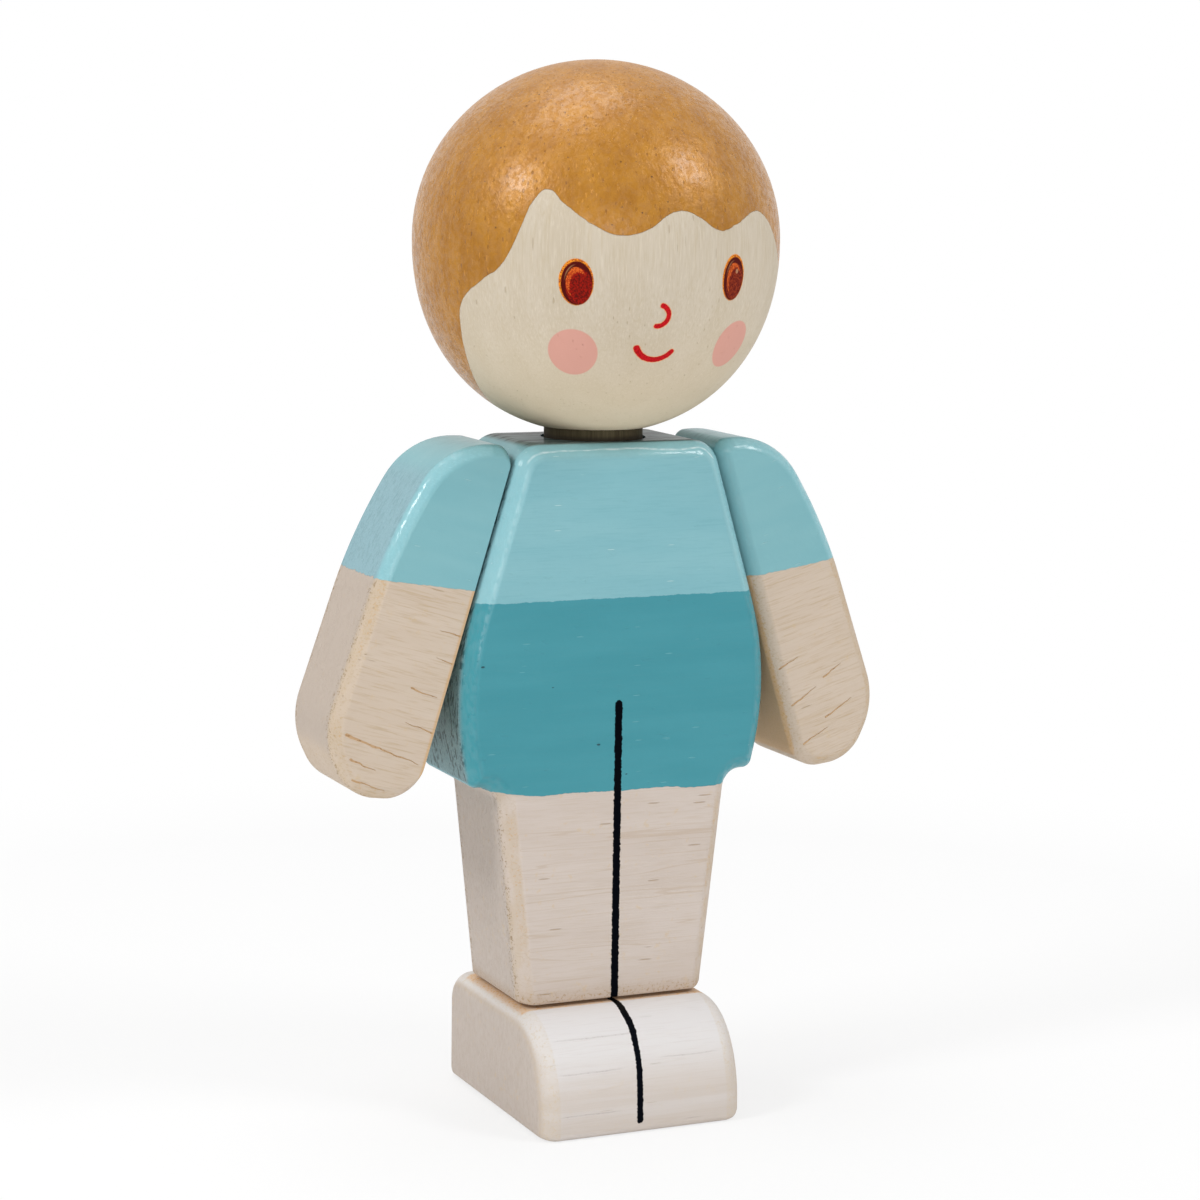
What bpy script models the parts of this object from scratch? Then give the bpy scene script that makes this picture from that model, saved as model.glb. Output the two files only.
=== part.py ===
"""A small standing wooden doll: a ball head on a dowel neck, a slab body, two arms and a foot block.

Metres, +Z up. The origin is on the floor under the head. The doll looks along -Y, so its own left is +X.
"""

import math

import bmesh
import bpy
from mathutils import Matrix, Vector

MM = 0.001

# The doll's own left is +X
SIDES = ((1, "left"), (-1, "right"))

# Gap that glued, pressed or resting pieces keep to each other
SEAT = 0.3 * MM

# Head: a turned ball, bored from below, with a blunter lower half
HEAD_DIAMETER = 35.0 * MM
HEAD_CROWN = 16.9 * MM
HEAD_CHIN = 18.4 * MM
HEAD_CHIN_BLUNTNESS = 2.14
HEAD_ABOVE_BODY = 0.35 * MM

# Neck dowel, glued in the body, and the bush in the head that snaps round its tenon
NECK_DIAMETER = 9.5 * MM
NECK_IN_BODY = 4.6 * MM
NECK_IN_HEAD = 10.0 * MM
NECK_GROOVE_DEPTH = 0.7 * MM
NECK_GROOVE_BELOW_TOP = 1.6 * MM
HEAD_BUSH_WALL = 0.9 * MM
HEAD_BUSH_RECESS = 1.8 * MM
HEAD_BEAD_WIDTH = 0.8 * MM

# Body: trunk and legs sawn from one board, seen from the front
BOARD = 13.8 * MM
EDGE_ROUND = 1.5 * MM
SHOULDER_HALF_WIDTH = 10.03 * MM
SIDE_SLANT = math.radians(16.7)
HIP_HALF_WIDTH = 15.95 * MM
HIP_ROUND = 30.0 * MM
TRUNK_LENGTH = 32.4 * MM
THIGH_HALF_WIDTH = 12.1 * MM
ANKLE_HALF_WIDTH = 9.75 * MM
LEG_LENGTH = 21.4 * MM
SHOULDER_CORNER_ROUND = 3.0 * MM
HIP_CORNER_ROUND = 1.1 * MM
CROTCH_CORNER_ROUND = 2.3 * MM
ANKLE_CORNER_ROUND = 0.7 * MM

# Foot block, seen from the side
FOOT_HALF_WIDTH = 10.5 * MM
FOOT_HEIGHT = 11.0 * MM
FOOT_EDGE_ROUND = 1.8 * MM
HEEL_LENGTH = 10.6 * MM
HEEL_ROUND = 3.0 * MM
TOE_LENGTH = 14.3 * MM
TOE_ROUND_LENGTH = 7.3 * MM
TOE_ROUND_HEIGHT = 9.3 * MM

# Dowels glued between the legs and the foot block
FOOT_DOWEL_DIAMETER = 5.0 * MM
FOOT_DOWEL_FROM_MIDDLE = 4.8 * MM
FOOT_DOWEL_IN_LEG = 8.0 * MM
FOOT_DOWEL_IN_FOOT = 6.5 * MM

# Arms: widths out from the trunk's slanted side, heights along it from the shoulder pin
ARM_THICKNESS = 11.5 * MM
ARM_EDGE_ROUND = 1.2 * MM
ARM_GAP = 0.4 * MM
SHOULDER_BELOW_TOP = 6.6 * MM
ARM_RISE = 6.7 * MM
ARM_REACH = 29.0 * MM
ARM_TOP_WIDTH = 6.9 * MM
ARM_TOP_SLOPE = 1.6 * MM
ARM_ELBOW_WIDTH = 9.85 * MM
ARM_ELBOW_BELOW_PIN = 5.3 * MM
HAND_WIDTH = 10.6 * MM
HAND_OUTER_RISE = 4.8 * MM
FINGERTIP_WIDTH = 6.4 * MM
HAND_INNER_RISE = 1.1 * MM
ARM_TOP_INNER_ROUND = 1.4 * MM
ARM_TOP_OUTER_ROUND = 9.5 * MM
ARM_ELBOW_ROUND = 60.0 * MM
HAND_OUTER_ROUND = 7.5 * MM
FINGERTIP_ROUND = 4.5 * MM
HAND_INNER_ROUND = 3.2 * MM

# Shoulder pins, fixed in the body, and the bushes in the arms that snap round them
PIN_DIAMETER = 3.0 * MM
PIN_IN_BODY = 8.8 * MM
PIN_IN_ARM = 4.6 * MM
PIN_GROOVE_DEPTH = 0.45 * MM
PIN_GROOVE_BELOW_END = 0.9 * MM
ARM_BUSH_WALL = 1.2 * MM
ARM_BEAD_WIDTH = 0.5 * MM

# Chamfered ends of pins and dowels, and the sharpest corner that sanding leaves
CHAMFER = 0.4 * MM
LEAST_ROUND = 0.25 * MM

# Length that a cutter stands out of the wood that it bores
CUTTER_PROUD = 3.0 * MM

# Fineness of the curves
BALL_STEPS = 28
BALL_TURNED_STEPS = 56
EDGE_STEPS = 4
CORNER_STEPS = 6
HIP_STEPS = 10
TOE_STEPS = 12
TURNED_STEPS = 32
SHARP_ANGLE = math.radians(35)

# Points closer than this are one point
SAME_POINT = 0.00001 * MM

# Heights and places that follow from the sizes
LEG_BOTTOM = FOOT_HEIGHT + SEAT
CROTCH = LEG_BOTTOM + LEG_LENGTH
BODY_TOP = CROTCH + TRUNK_LENGTH
HEAD_RADIUS = HEAD_DIAMETER / 2
HEAD_BOTTOM = BODY_TOP + HEAD_ABOVE_BODY
HEAD_EQUATOR = HEAD_BOTTOM + HEAD_CHIN
NECK_RADIUS = NECK_DIAMETER / 2
NECK_TENON_RADIUS = NECK_RADIUS - HEAD_BUSH_WALL - SEAT
NECK_TOP = HEAD_BOTTOM + NECK_IN_HEAD
PIN_RADIUS = PIN_DIAMETER / 2
FOOT_DOWEL_RADIUS = FOOT_DOWEL_DIAMETER / 2
SHOULDER_HEIGHT = BODY_TOP - SHOULDER_BELOW_TOP
SHOULDER_FROM_MIDDLE = SHOULDER_HALF_WIDTH + SHOULDER_BELOW_TOP * math.tan(SIDE_SLANT)


def clear_scene():
    for item in list(bpy.data.objects):
        bpy.data.objects.remove(item, do_unlink=True)


def finish(name, colour, roughness, metallic=0.0):
    """A plain material of one linear colour."""
    material = bpy.data.materials.new(name)
    material.use_nodes = True
    shader = material.node_tree.nodes["Principled BSDF"]
    shader.inputs["Base Color"].default_value = (*colour, 1.0)
    shader.inputs["Roughness"].default_value = roughness
    shader.inputs["Metallic"].default_value = metallic
    material.diffuse_color = (*colour, 1.0)
    return material


def piece_from(bm, name):
    """Turns a closed bmesh into a smooth-shaded object whose faces point out."""
    bmesh.ops.remove_doubles(bm, verts=bm.verts, dist=SAME_POINT)
    bmesh.ops.recalc_face_normals(bm, faces=bm.faces)
    mesh = bpy.data.meshes.new(name)
    bm.to_mesh(mesh)
    bm.free()
    mesh.shade_smooth()
    mesh.set_sharp_from_angle(angle=SHARP_ANGLE)
    item = bpy.data.objects.new(name, mesh)
    bpy.context.collection.objects.link(item)
    return item


def lofted(rings, name):
    """A solid skinned over rings of equally many points, with flat ends."""
    bm = bmesh.new()
    loops = [[bm.verts.new(point) for point in ring] for ring in rings]
    for lower, upper in zip(loops, loops[1:]):
        for i in range(len(lower)):
            bm.faces.new((lower[i - 1], lower[i], upper[i], upper[i - 1]))
    bm.faces.new(loops[0])
    bm.faces.new(loops[-1])
    return piece_from(bm, name)


def turned(profile, name, hollow=False, steps=TURNED_STEPS):
    """A solid turned about Z from (radius, height) points: a ring if the profile closes on itself."""
    bm = bmesh.new()
    verts = [bm.verts.new((radius, 0.0, height)) for radius, height in profile]
    edges = [bm.edges.new(pair) for pair in zip(verts, verts[1:])]
    if hollow:
        edges.append(bm.edges.new((verts[-1], verts[0])))
    bmesh.ops.spin(
        bm,
        geom=verts + edges,
        cent=(0.0, 0.0, 0.0),
        axis=(0.0, 0.0, 1.0),
        angle=math.tau,
        steps=steps,
        use_merge=True,
    )
    return piece_from(bm, name)


def turned_bore(name, radius, start, end):
    """A cutter about Z, from height start to height end."""
    cutter = turned([(0.0, start), (radius, start), (radius, end), (0.0, end)], name)
    cutter.hide_render = True
    cutter.display_type = "WIRE"
    return cutter


def bore(item, cutter):
    """Cuts the cutter's shape out of a piece."""
    cut = item.modifiers.new(cutter.name, "BOOLEAN")
    cut.operation = "DIFFERENCE"
    cut.solver = "EXACT"
    cut.object = cutter


def arc(centre, radii, start, end, steps):
    """Points on an ellipse's arc between two angles, both ends included."""
    for step in range(steps + 1):
        angle = start + (end - start) * step / steps
        yield centre[0] + radii[0] * math.cos(angle), centre[1] + radii[1] * math.sin(angle)


def inset_corners(corners, inset):
    """Moves an anticlockwise outline's straight sides inwards; corners are (across, up, radius)."""
    points = [Vector(corner[:2]) for corner in corners]
    moved = []
    for i, point in enumerate(points):
        before = (point - points[i - 1]).normalized()
        after = (points[(i + 1) % len(points)] - point).normalized()
        inward = Vector((-before.y - after.y, before.x + after.x))
        radius = corners[i][2]
        if radius:
            bend = math.copysign(inset, before.cross(after))
            radius = max(radius - bend, LEAST_ROUND)
        moved.append((point + inward * inset / (1 + before.dot(after)), radius))
    return moved


def tangent_lengths(corners):
    """How much of each side a corner's rounding takes, shared where two roundings meet."""
    wanted = []
    for i, (point, radius) in enumerate(corners):
        before = corners[i - 1][0] - point
        after = corners[(i + 1) % len(corners)][0] - point
        wanted.append(radius / math.tan(before.angle(after) / 2))
    given = list(wanted)
    for i, (point, radius) in enumerate(corners):
        asked = wanted[i - 1] + wanted[i]
        room = (corners[i - 1][0] - point).length - LEAST_ROUND
        if asked > room:
            given[i - 1] = min(given[i - 1], wanted[i - 1] * room / asked)
            given[i] = min(given[i], wanted[i] * room / asked)
    return given


def rounded_outline(corners, inset=0.0):
    """Points of an outline, drawn in by inset, whose corners are rounded by arcs."""
    moved = inset_corners(corners, inset)
    tangents = tangent_lengths(moved)
    outline = []
    for i, (point, radius) in enumerate(moved):
        if not radius:
            outline.append(tuple(point))
            continue
        before = (moved[i - 1][0] - point).normalized()
        after = (moved[(i + 1) % len(moved)][0] - point).normalized()
        half_angle = before.angle(after) / 2
        centre = point + (before + after).normalized() * tangents[i] / math.cos(half_angle)
        spoke = point + before * tangents[i] - centre
        turn = math.copysign(math.pi - 2 * half_angle, after.cross(before))
        for step in range(CORNER_STEPS + 1):
            outline.append(tuple(centre + Matrix.Rotation(turn * step / CORNER_STEPS, 2) @ spoke))
    return outline


def slab(outline_at, thickness, edge_round, place, name):
    """A sawn slab with rounded edges. outline_at gives its outline at an inset, place its points."""
    steps = []
    for step in range(EDGE_STEPS + 1):
        angle = math.pi / 2 * step / EDGE_STEPS
        out = thickness / 2 - edge_round * (1 - math.sin(angle))
        steps.append((out, edge_round * (1 - math.cos(angle))))
    sides = [(-out, inset) for out, inset in reversed(steps)] + steps
    rings = [[place(across, out, up) for across, up in outline_at(inset)] for out, inset in sides]
    return lofted(rings, name)


def chamfered_end(radius, end, towards):
    """Profile points of a chamfered end: its rim, then its middle."""
    return [(radius, end - towards * CHAMFER), (radius - CHAMFER, end), (0.0, end)]


def grooved_pin(radius, start, end, groove_radius, groove_low, groove_high, name, tenon=None):
    """A pin or dowel about Z with chamfered ends and a groove for the bush's bead.

    tenon is (radius, height of its shoulder) where the upper end is turned thinner.
    """
    profile = list(reversed(chamfered_end(radius, start, -1)))
    if tenon:
        profile.append((radius, tenon[1]))
        profile.append(tenon)
        radius = tenon[0]
    profile += [(radius, groove_low), (groove_radius, groove_low)]
    profile += [(groove_radius, groove_high), (radius, groove_high)]
    profile += chamfered_end(radius, end, 1)
    return turned(profile, name)


def beaded_bush(inner, outer, start, end, bead_radius, bead_low, bead_high, name):
    """A sleeve about Z with an inner bead that snaps into a pin's groove."""
    profile = [(outer, start), (outer, end), (inner, end), (inner, bead_high)]
    profile += [(bead_radius, bead_high), (bead_radius, bead_low), (inner, bead_low), (inner, start)]
    return turned(profile, name, hollow=True)


def ball_profile():
    """The ball from its bottom to its top: a round crown over a lower half that is a superellipse."""
    profile = []
    for step in range(BALL_STEPS + 1):
        angle = math.pi * (step / BALL_STEPS - 0.5)
        across = abs(math.cos(angle))
        up = abs(math.sin(angle))
        if angle < 0:
            power = 2 / HEAD_CHIN_BLUNTNESS
            profile.append((HEAD_RADIUS * across**power, -HEAD_CHIN * up**power))
        else:
            profile.append((HEAD_RADIUS * across, HEAD_CROWN * up))
    return [(0.0, -HEAD_CHIN)] + profile[1:-1] + [(0.0, HEAD_CROWN)]


def make_head():
    head = turned(ball_profile(), "head", steps=BALL_TURNED_STEPS)
    head.location.z = HEAD_EQUATOR
    head.data.materials.append(finish("pale_face_paint", (0.70, 0.61, 0.46), 0.5))
    width = NECK_RADIUS + SEAT
    bore(head, turned_bore("cut_head_bore", width, HEAD_BOTTOM - CUTTER_PROUD, NECK_TOP + SEAT))


def make_head_bush():
    inner = NECK_TENON_RADIUS + SEAT
    groove_high = NECK_TOP - NECK_GROOVE_BELOW_TOP
    bead_high = groove_high - SEAT
    bush = beaded_bush(
        inner,
        inner + HEAD_BUSH_WALL,
        HEAD_BOTTOM + HEAD_BUSH_RECESS,
        NECK_TOP,
        inner - NECK_GROOVE_DEPTH,
        bead_high - HEAD_BEAD_WIDTH,
        bead_high,
        "head_bush",
    )
    bush.data.materials.append(finish("head_nylon", (0.80, 0.79, 0.74), 0.4))


def make_neck_dowel():
    groove_high = NECK_TOP - NECK_GROOVE_BELOW_TOP
    dowel = grooved_pin(
        NECK_RADIUS,
        BODY_TOP - NECK_IN_BODY,
        NECK_TOP,
        NECK_TENON_RADIUS - NECK_GROOVE_DEPTH,
        groove_high - HEAD_BEAD_WIDTH - 2 * SEAT,
        groove_high,
        "neck_dowel",
        tenon=(NECK_TENON_RADIUS, HEAD_BOTTOM + HEAD_BUSH_RECESS - SEAT),
    )
    dowel.data.materials.append(finish("neck_beech", (0.30, 0.20, 0.13), 0.6))


def hip_corners():
    """The hip's arc, tangent to the slanted side, from the side down to the trunk's lower corner."""
    centre_across = HIP_HALF_WIDTH - HIP_ROUND
    reach = HIP_ROUND + (centre_across - SHOULDER_HALF_WIDTH) * math.cos(SIDE_SLANT)
    centre_up = BODY_TOP - reach / math.sin(SIDE_SLANT)
    lowest = -math.asin((centre_up - CROTCH) / HIP_ROUND)
    radii = (HIP_ROUND, HIP_ROUND)
    points = list(arc((centre_across, centre_up), radii, lowest, SIDE_SLANT, HIP_STEPS))
    lower_corner = (*points[0], HIP_CORNER_ROUND)
    return [lower_corner] + [(across, up, 0.0) for across, up in points[1:]]


def body_corners():
    """The body's outline from the front, anticlockwise from the left ankle."""
    half = [
        (ANKLE_HALF_WIDTH, LEG_BOTTOM, ANKLE_CORNER_ROUND),
        (THIGH_HALF_WIDTH, CROTCH, CROTCH_CORNER_ROUND),
        *hip_corners(),
        (SHOULDER_HALF_WIDTH, BODY_TOP, SHOULDER_CORNER_ROUND),
    ]
    return half + [(-across, up, radius) for across, up, radius in reversed(half)]


def make_body():
    corners = body_corners()
    body = slab(
        lambda inset: rounded_outline(corners, inset),
        BOARD,
        EDGE_ROUND,
        lambda across, out, up: (across, out, up),
        "body",
    )
    body.data.materials.append(finish("teal_body_paint", (0.15, 0.38, 0.42), 0.35))
    neck_bottom = BODY_TOP - NECK_IN_BODY - SEAT
    bore(body, turned_bore("cut_neck_bore", NECK_RADIUS + SEAT, neck_bottom, BODY_TOP + CUTTER_PROUD))
    for side, hand in SIDES:
        cutter = turned_bore(
            f"cut_{hand}_pin_bore", PIN_RADIUS + SEAT, -PIN_IN_BODY - SEAT, CUTTER_PROUD
        )
        lay_on_shoulder(cutter, side)
        bore(body, cutter)
        cutter = turned_bore(
            f"cut_{hand}_leg_bore",
            FOOT_DOWEL_RADIUS + SEAT,
            LEG_BOTTOM - CUTTER_PROUD,
            LEG_BOTTOM + FOOT_DOWEL_IN_LEG + SEAT,
        )
        cutter.location.x = side * FOOT_DOWEL_FROM_MIDDLE
        bore(body, cutter)


def foot_outline(inset):
    """The foot block from the side, with its front at -Y: the sole stays, the rest is drawn in."""
    heel = HEEL_LENGTH - inset
    heel_round = max(HEEL_ROUND - inset, LEAST_ROUND)
    top = FOOT_HEIGHT - inset
    heel_centre = (heel - heel_round, top - heel_round)
    toe_centre = (TOE_ROUND_LENGTH - TOE_LENGTH, FOOT_HEIGHT - TOE_ROUND_HEIGHT)
    toe_radii = (TOE_ROUND_LENGTH - inset, TOE_ROUND_HEIGHT - inset)
    outline = [(heel, 0.0)]
    outline += arc(heel_centre, (heel_round, heel_round), 0.0, math.pi / 2, CORNER_STEPS)
    outline += arc(toe_centre, toe_radii, math.pi / 2, math.pi, TOE_STEPS)
    outline.append((inset - TOE_LENGTH, 0.0))
    return outline


def make_foot_block():
    foot = slab(
        foot_outline,
        2 * FOOT_HALF_WIDTH,
        FOOT_EDGE_ROUND,
        lambda across, out, up: (out, across, up),
        "foot_block",
    )
    foot.data.materials.append(finish("whitewashed_foot", (0.66, 0.60, 0.53), 0.55))
    for side, hand in SIDES:
        cutter = turned_bore(
            f"cut_{hand}_foot_bore",
            FOOT_DOWEL_RADIUS + SEAT,
            FOOT_HEIGHT - FOOT_DOWEL_IN_FOOT - SEAT,
            FOOT_HEIGHT + CUTTER_PROUD,
        )
        cutter.location.x = side * FOOT_DOWEL_FROM_MIDDLE
        bore(foot, cutter)


def make_foot_dowel(side, hand):
    bottom = FOOT_HEIGHT - FOOT_DOWEL_IN_FOOT
    top = LEG_BOTTOM + FOOT_DOWEL_IN_LEG
    profile = list(reversed(chamfered_end(FOOT_DOWEL_RADIUS, bottom, -1)))
    profile += chamfered_end(FOOT_DOWEL_RADIUS, top, 1)
    dowel = turned(profile, f"{hand}_foot_dowel")
    dowel.location.x = side * FOOT_DOWEL_FROM_MIDDLE
    dowel.data.materials.append(finish(f"{hand}_dowel_beech", (0.52, 0.38, 0.25), 0.6))


def lay_on_shoulder(item, side):
    """Lays a piece that is turned about Z along the shoulder's axis, square to the trunk's side."""
    item.data.transform(Matrix.Rotation(side * math.pi / 2, 4, "Y"))
    item.location = (side * SHOULDER_FROM_MIDDLE, 0.0, SHOULDER_HEIGHT)
    item.rotation_euler.y = -side * SIDE_SLANT


def make_shoulder_joint(side, hand):
    """The empty that carries an arm: its X axis is the shoulder's axis."""
    joint = bpy.data.objects.new(f"{hand}_shoulder_joint", None)
    bpy.context.collection.objects.link(joint)
    joint.empty_display_size = PIN_IN_BODY
    joint.location = (side * SHOULDER_FROM_MIDDLE, 0.0, SHOULDER_HEIGHT)
    joint.rotation_euler.y = -side * SIDE_SLANT
    return joint


def arm_corners():
    """An arm from the front: out from the trunk's side, up along it, anticlockwise from the hand."""
    return [
        (FINGERTIP_WIDTH, -ARM_REACH, FINGERTIP_ROUND),
        (HAND_WIDTH, -ARM_REACH + HAND_OUTER_RISE, HAND_OUTER_ROUND),
        (ARM_ELBOW_WIDTH, -ARM_ELBOW_BELOW_PIN, ARM_ELBOW_ROUND),
        (ARM_TOP_WIDTH, ARM_RISE - ARM_TOP_SLOPE, ARM_TOP_OUTER_ROUND),
        (ARM_GAP, ARM_RISE, ARM_TOP_INNER_ROUND),
        (ARM_GAP, -ARM_REACH + HAND_INNER_RISE, HAND_INNER_ROUND),
    ]


def make_arm(side, hand, joint):
    corners = arm_corners()
    arm = slab(
        lambda inset: rounded_outline(corners, inset),
        ARM_THICKNESS,
        ARM_EDGE_ROUND,
        lambda across, out, up: (side * across, out, up),
        f"{hand}_arm",
    )
    arm.parent = joint
    arm.data.materials.append(finish(f"{hand}_sleeve_paint", (0.26, 0.52, 0.54), 0.35))
    bush_outer = PIN_RADIUS + SEAT + ARM_BUSH_WALL
    bore_end = PIN_IN_ARM + 2 * SEAT
    cutter = turned_bore(f"cut_{hand}_arm_bore", bush_outer + SEAT, -CUTTER_PROUD, bore_end)
    lay_on_shoulder(cutter, side)
    bore(arm, cutter)


def make_shoulder_bush(side, hand, joint):
    inner = PIN_RADIUS + SEAT
    bead_high = PIN_IN_ARM - PIN_GROOVE_BELOW_END - SEAT
    bush = beaded_bush(
        inner,
        inner + ARM_BUSH_WALL,
        ARM_GAP + SEAT,
        PIN_IN_ARM + SEAT,
        PIN_RADIUS - PIN_GROOVE_DEPTH + SEAT,
        bead_high - ARM_BEAD_WIDTH,
        bead_high,
        f"{hand}_shoulder_bush",
    )
    bush.data.transform(Matrix.Rotation(side * math.pi / 2, 4, "Y"))
    bush.parent = joint
    bush.data.materials.append(finish(f"{hand}_bush_nylon", (0.80, 0.79, 0.74), 0.4))


def make_shoulder_pin(side, hand):
    groove_high = PIN_IN_ARM - PIN_GROOVE_BELOW_END
    pin = grooved_pin(
        PIN_RADIUS,
        -PIN_IN_BODY,
        PIN_IN_ARM,
        PIN_RADIUS - PIN_GROOVE_DEPTH,
        groove_high - ARM_BEAD_WIDTH - 2 * SEAT,
        groove_high,
        f"{hand}_shoulder_pin",
    )
    lay_on_shoulder(pin, side)
    pin.data.materials.append(finish(f"{hand}_pin_steel", (0.56, 0.56, 0.57), 0.3, 1.0))


clear_scene()
make_head()
make_head_bush()
make_neck_dowel()
make_body()
make_foot_block()
for side, hand in SIDES:
    make_foot_dowel(side, hand)
    joint = make_shoulder_joint(side, hand)
    make_arm(side, hand, joint)
    make_shoulder_bush(side, hand, joint)
    make_shoulder_pin(side, hand)
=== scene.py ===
from math import acos, asin, copysign, cos, pi, radians, sin, tan, tau

import bmesh
import bpy
from mathutils import Matrix, Vector, noise


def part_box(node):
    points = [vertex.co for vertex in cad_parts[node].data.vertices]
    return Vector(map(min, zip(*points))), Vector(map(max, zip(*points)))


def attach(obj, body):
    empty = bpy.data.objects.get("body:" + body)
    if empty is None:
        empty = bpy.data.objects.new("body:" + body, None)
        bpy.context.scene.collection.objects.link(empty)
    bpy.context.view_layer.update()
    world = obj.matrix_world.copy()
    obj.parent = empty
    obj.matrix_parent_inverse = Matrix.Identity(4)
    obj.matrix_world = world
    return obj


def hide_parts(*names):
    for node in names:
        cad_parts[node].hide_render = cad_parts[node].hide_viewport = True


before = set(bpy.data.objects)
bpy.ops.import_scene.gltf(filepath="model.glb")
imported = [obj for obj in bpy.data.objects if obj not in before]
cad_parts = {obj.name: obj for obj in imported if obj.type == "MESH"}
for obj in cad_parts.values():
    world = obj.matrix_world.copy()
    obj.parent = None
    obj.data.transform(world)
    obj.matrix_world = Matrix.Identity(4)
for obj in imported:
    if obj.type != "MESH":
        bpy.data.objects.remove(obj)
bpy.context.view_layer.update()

# The view. A long lens stands 307 mm off, 24 degrees round to the doll's right. It is almost as
# high up as the top of its head, and looks slightly down on its middle.
MM = 0.001
VIEW_TURN = radians(24.333)
VIEW_DOWN = radians(8.617)
VIEW_ROLL = radians(0.849)
VIEW_DISTANCE = 306.57 * MM
VIEW_AIM_ASIDE = 0.895 * MM
VIEW_AIM_HEIGHT = 49.158 * MM
FILM_WIDTH = 36.0
LENS = 95.02

back = Vector((-sin(VIEW_TURN), -cos(VIEW_TURN), 0.0)) * cos(VIEW_DOWN)
back.z = sin(VIEW_DOWN)
level = Vector((cos(VIEW_TURN), -sin(VIEW_TURN), 0.0))
upright = back.cross(level)
across = level * cos(VIEW_ROLL) + upright * sin(VIEW_ROLL)
up = upright * cos(VIEW_ROLL) - level * sin(VIEW_ROLL)
stand = level * VIEW_AIM_ASIDE + back * VIEW_DISTANCE
stand.z += VIEW_AIM_HEIGHT
camera = bpy.data.objects.new("view", bpy.data.cameras.new("view"))
camera.data.sensor_width = FILM_WIDTH
camera.data.lens = LENS
camera.data.clip_start = 10 * MM
camera.matrix_world = Matrix.Translation(stand) @ Matrix((across, up, back)).transposed().to_4x4()
bpy.context.collection.objects.link(camera)
bpy.context.scene.camera = camera
bpy.context.scene.view_settings.view_transform = "Standard"


# The body. Trunk and legs are one piece of pale hardwood with its grain from side to side, sawn
# from a board, with rounded edges. The clothes are gloss paint over it, in two blues, and the
# legs are wiped with thin white. One black line down the front parts the legs.
SEAT = 0.3 * MM
EDGE_ROUND = 1.5 * MM
SHOULDER_HALF_WIDTH = 10.03 * MM
SIDE_SLANT = radians(16.7)
HIP_HALF_WIDTH = 15.95 * MM
HIP_ROUND = 30.0 * MM
CROTCH = 32.7 * MM
THIGH_HALF_WIDTH = 12.1 * MM
ANKLE_HALF_WIDTH = 9.75 * MM
SHOULDER_CORNER_ROUND = 3.0 * MM
HIP_CORNER_ROUND = 1.1 * MM
CROTCH_CORNER_ROUND = 2.3 * MM
ANKLE_CORNER_ROUND = 0.7 * MM
LEAST_ROUND = 0.25 * MM
HOLDING_EDGE = 0.12 * MM
HEM_OF_SHIRT = 50.36
HEM_OF_SHORTS = 31.7
LINE_TOP = 40.5
LINE_HALF_WIDTH = 0.38
WOOD_SPECULAR = 0.12
GLOSS_ROUGHNESS = 0.14
GLOSS_IOR = 1.45
CORNER_STEPS = 12
EDGE_STEPS = 9
DRILL_STEPS = 48
WORN_EDGE_TURNS = (radians(20), radians(70))
ANKLE_EDGE_LATE = 1.35 * MM
HIP_STEPS = 9
UNEVEN = 0.035 * MM
UNEVEN_REACH = 6.0 * MM
SHARP = radians(35)

body_low, body_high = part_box("body")
BOARD = body_high.y - body_low.y


def drawn_in(corners, inset):
    """Moves the straight sides of an anticlockwise outline of (across, up, radius) inwards.
    A fourth number in a corner is how far the others move before the side after it does."""
    points = [Vector(corner[:2]) for corner in corners]
    insets = [max(inset - sum(corner[3:]), 0.0) for corner in corners]
    moved = []
    for i, point in enumerate(points):
        before = (point - points[i - 1]).normalized()
        after = (points[(i + 1) % len(points)] - point).normalized()
        turn = before.cross(after)
        radius = corners[i][2]
        if radius:
            less = (insets[i - 1] + insets[i]) / 2
            radius = max(radius - copysign(less, turn), LEAST_ROUND)
        moved.append((point + (after * insets[i - 1] - before * insets[i]) / turn, radius))
    return moved


def room_for_rounding(corners):
    """How much of each side a corner's rounding takes, shared where two roundings meet."""
    wanted = []
    for i, (point, radius) in enumerate(corners):
        before = corners[i - 1][0] - point
        after = corners[(i + 1) % len(corners)][0] - point
        wanted.append(radius / tan(before.angle(after) / 2))
    given = list(wanted)
    for i, (point, radius) in enumerate(corners):
        asked = wanted[i - 1] + wanted[i]
        room = (corners[i - 1][0] - point).length - LEAST_ROUND
        if asked > room:
            given[i - 1] = min(given[i - 1], wanted[i - 1] * room / asked)
            given[i] = min(given[i], wanted[i] * room / asked)
    return given


def rounded_outline(corners, inset):
    """Points of the outline drawn in by inset, with arcs for corners."""
    moved = drawn_in(corners, inset)
    taken = room_for_rounding(moved)
    outline = []
    for i, (point, radius) in enumerate(moved):
        if not radius:
            outline.append(point)
            continue
        before = (moved[i - 1][0] - point).normalized()
        after = (moved[(i + 1) % len(moved)][0] - point).normalized()
        half_angle = before.angle(after) / 2
        centre = point + (before + after).normalized() * taken[i] / cos(half_angle)
        spoke = point + before * taken[i] - centre
        turn = copysign(pi - 2 * half_angle, after.cross(before))
        for step in range(CORNER_STEPS + 1):
            outline.append(centre + Matrix.Rotation(turn * step / CORNER_STEPS, 2) @ spoke)
    return outline


def arc(centre, radii, start, end, steps):
    """Points on an ellipse's arc between two angles, both ends included."""
    for step in range(steps + 1):
        angle = start + (end - start) * step / steps
        yield centre[0] + radii[0] * cos(angle), centre[1] + radii[1] * sin(angle)


def hand_sanded(point, seed):
    """Sanding takes a little more off here than there."""
    taken = noise.noise((Vector(point) / UNEVEN_REACH) + Vector((seed, 0.0, 0.0)))
    return UNEVEN * (1.0 + taken)


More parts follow.
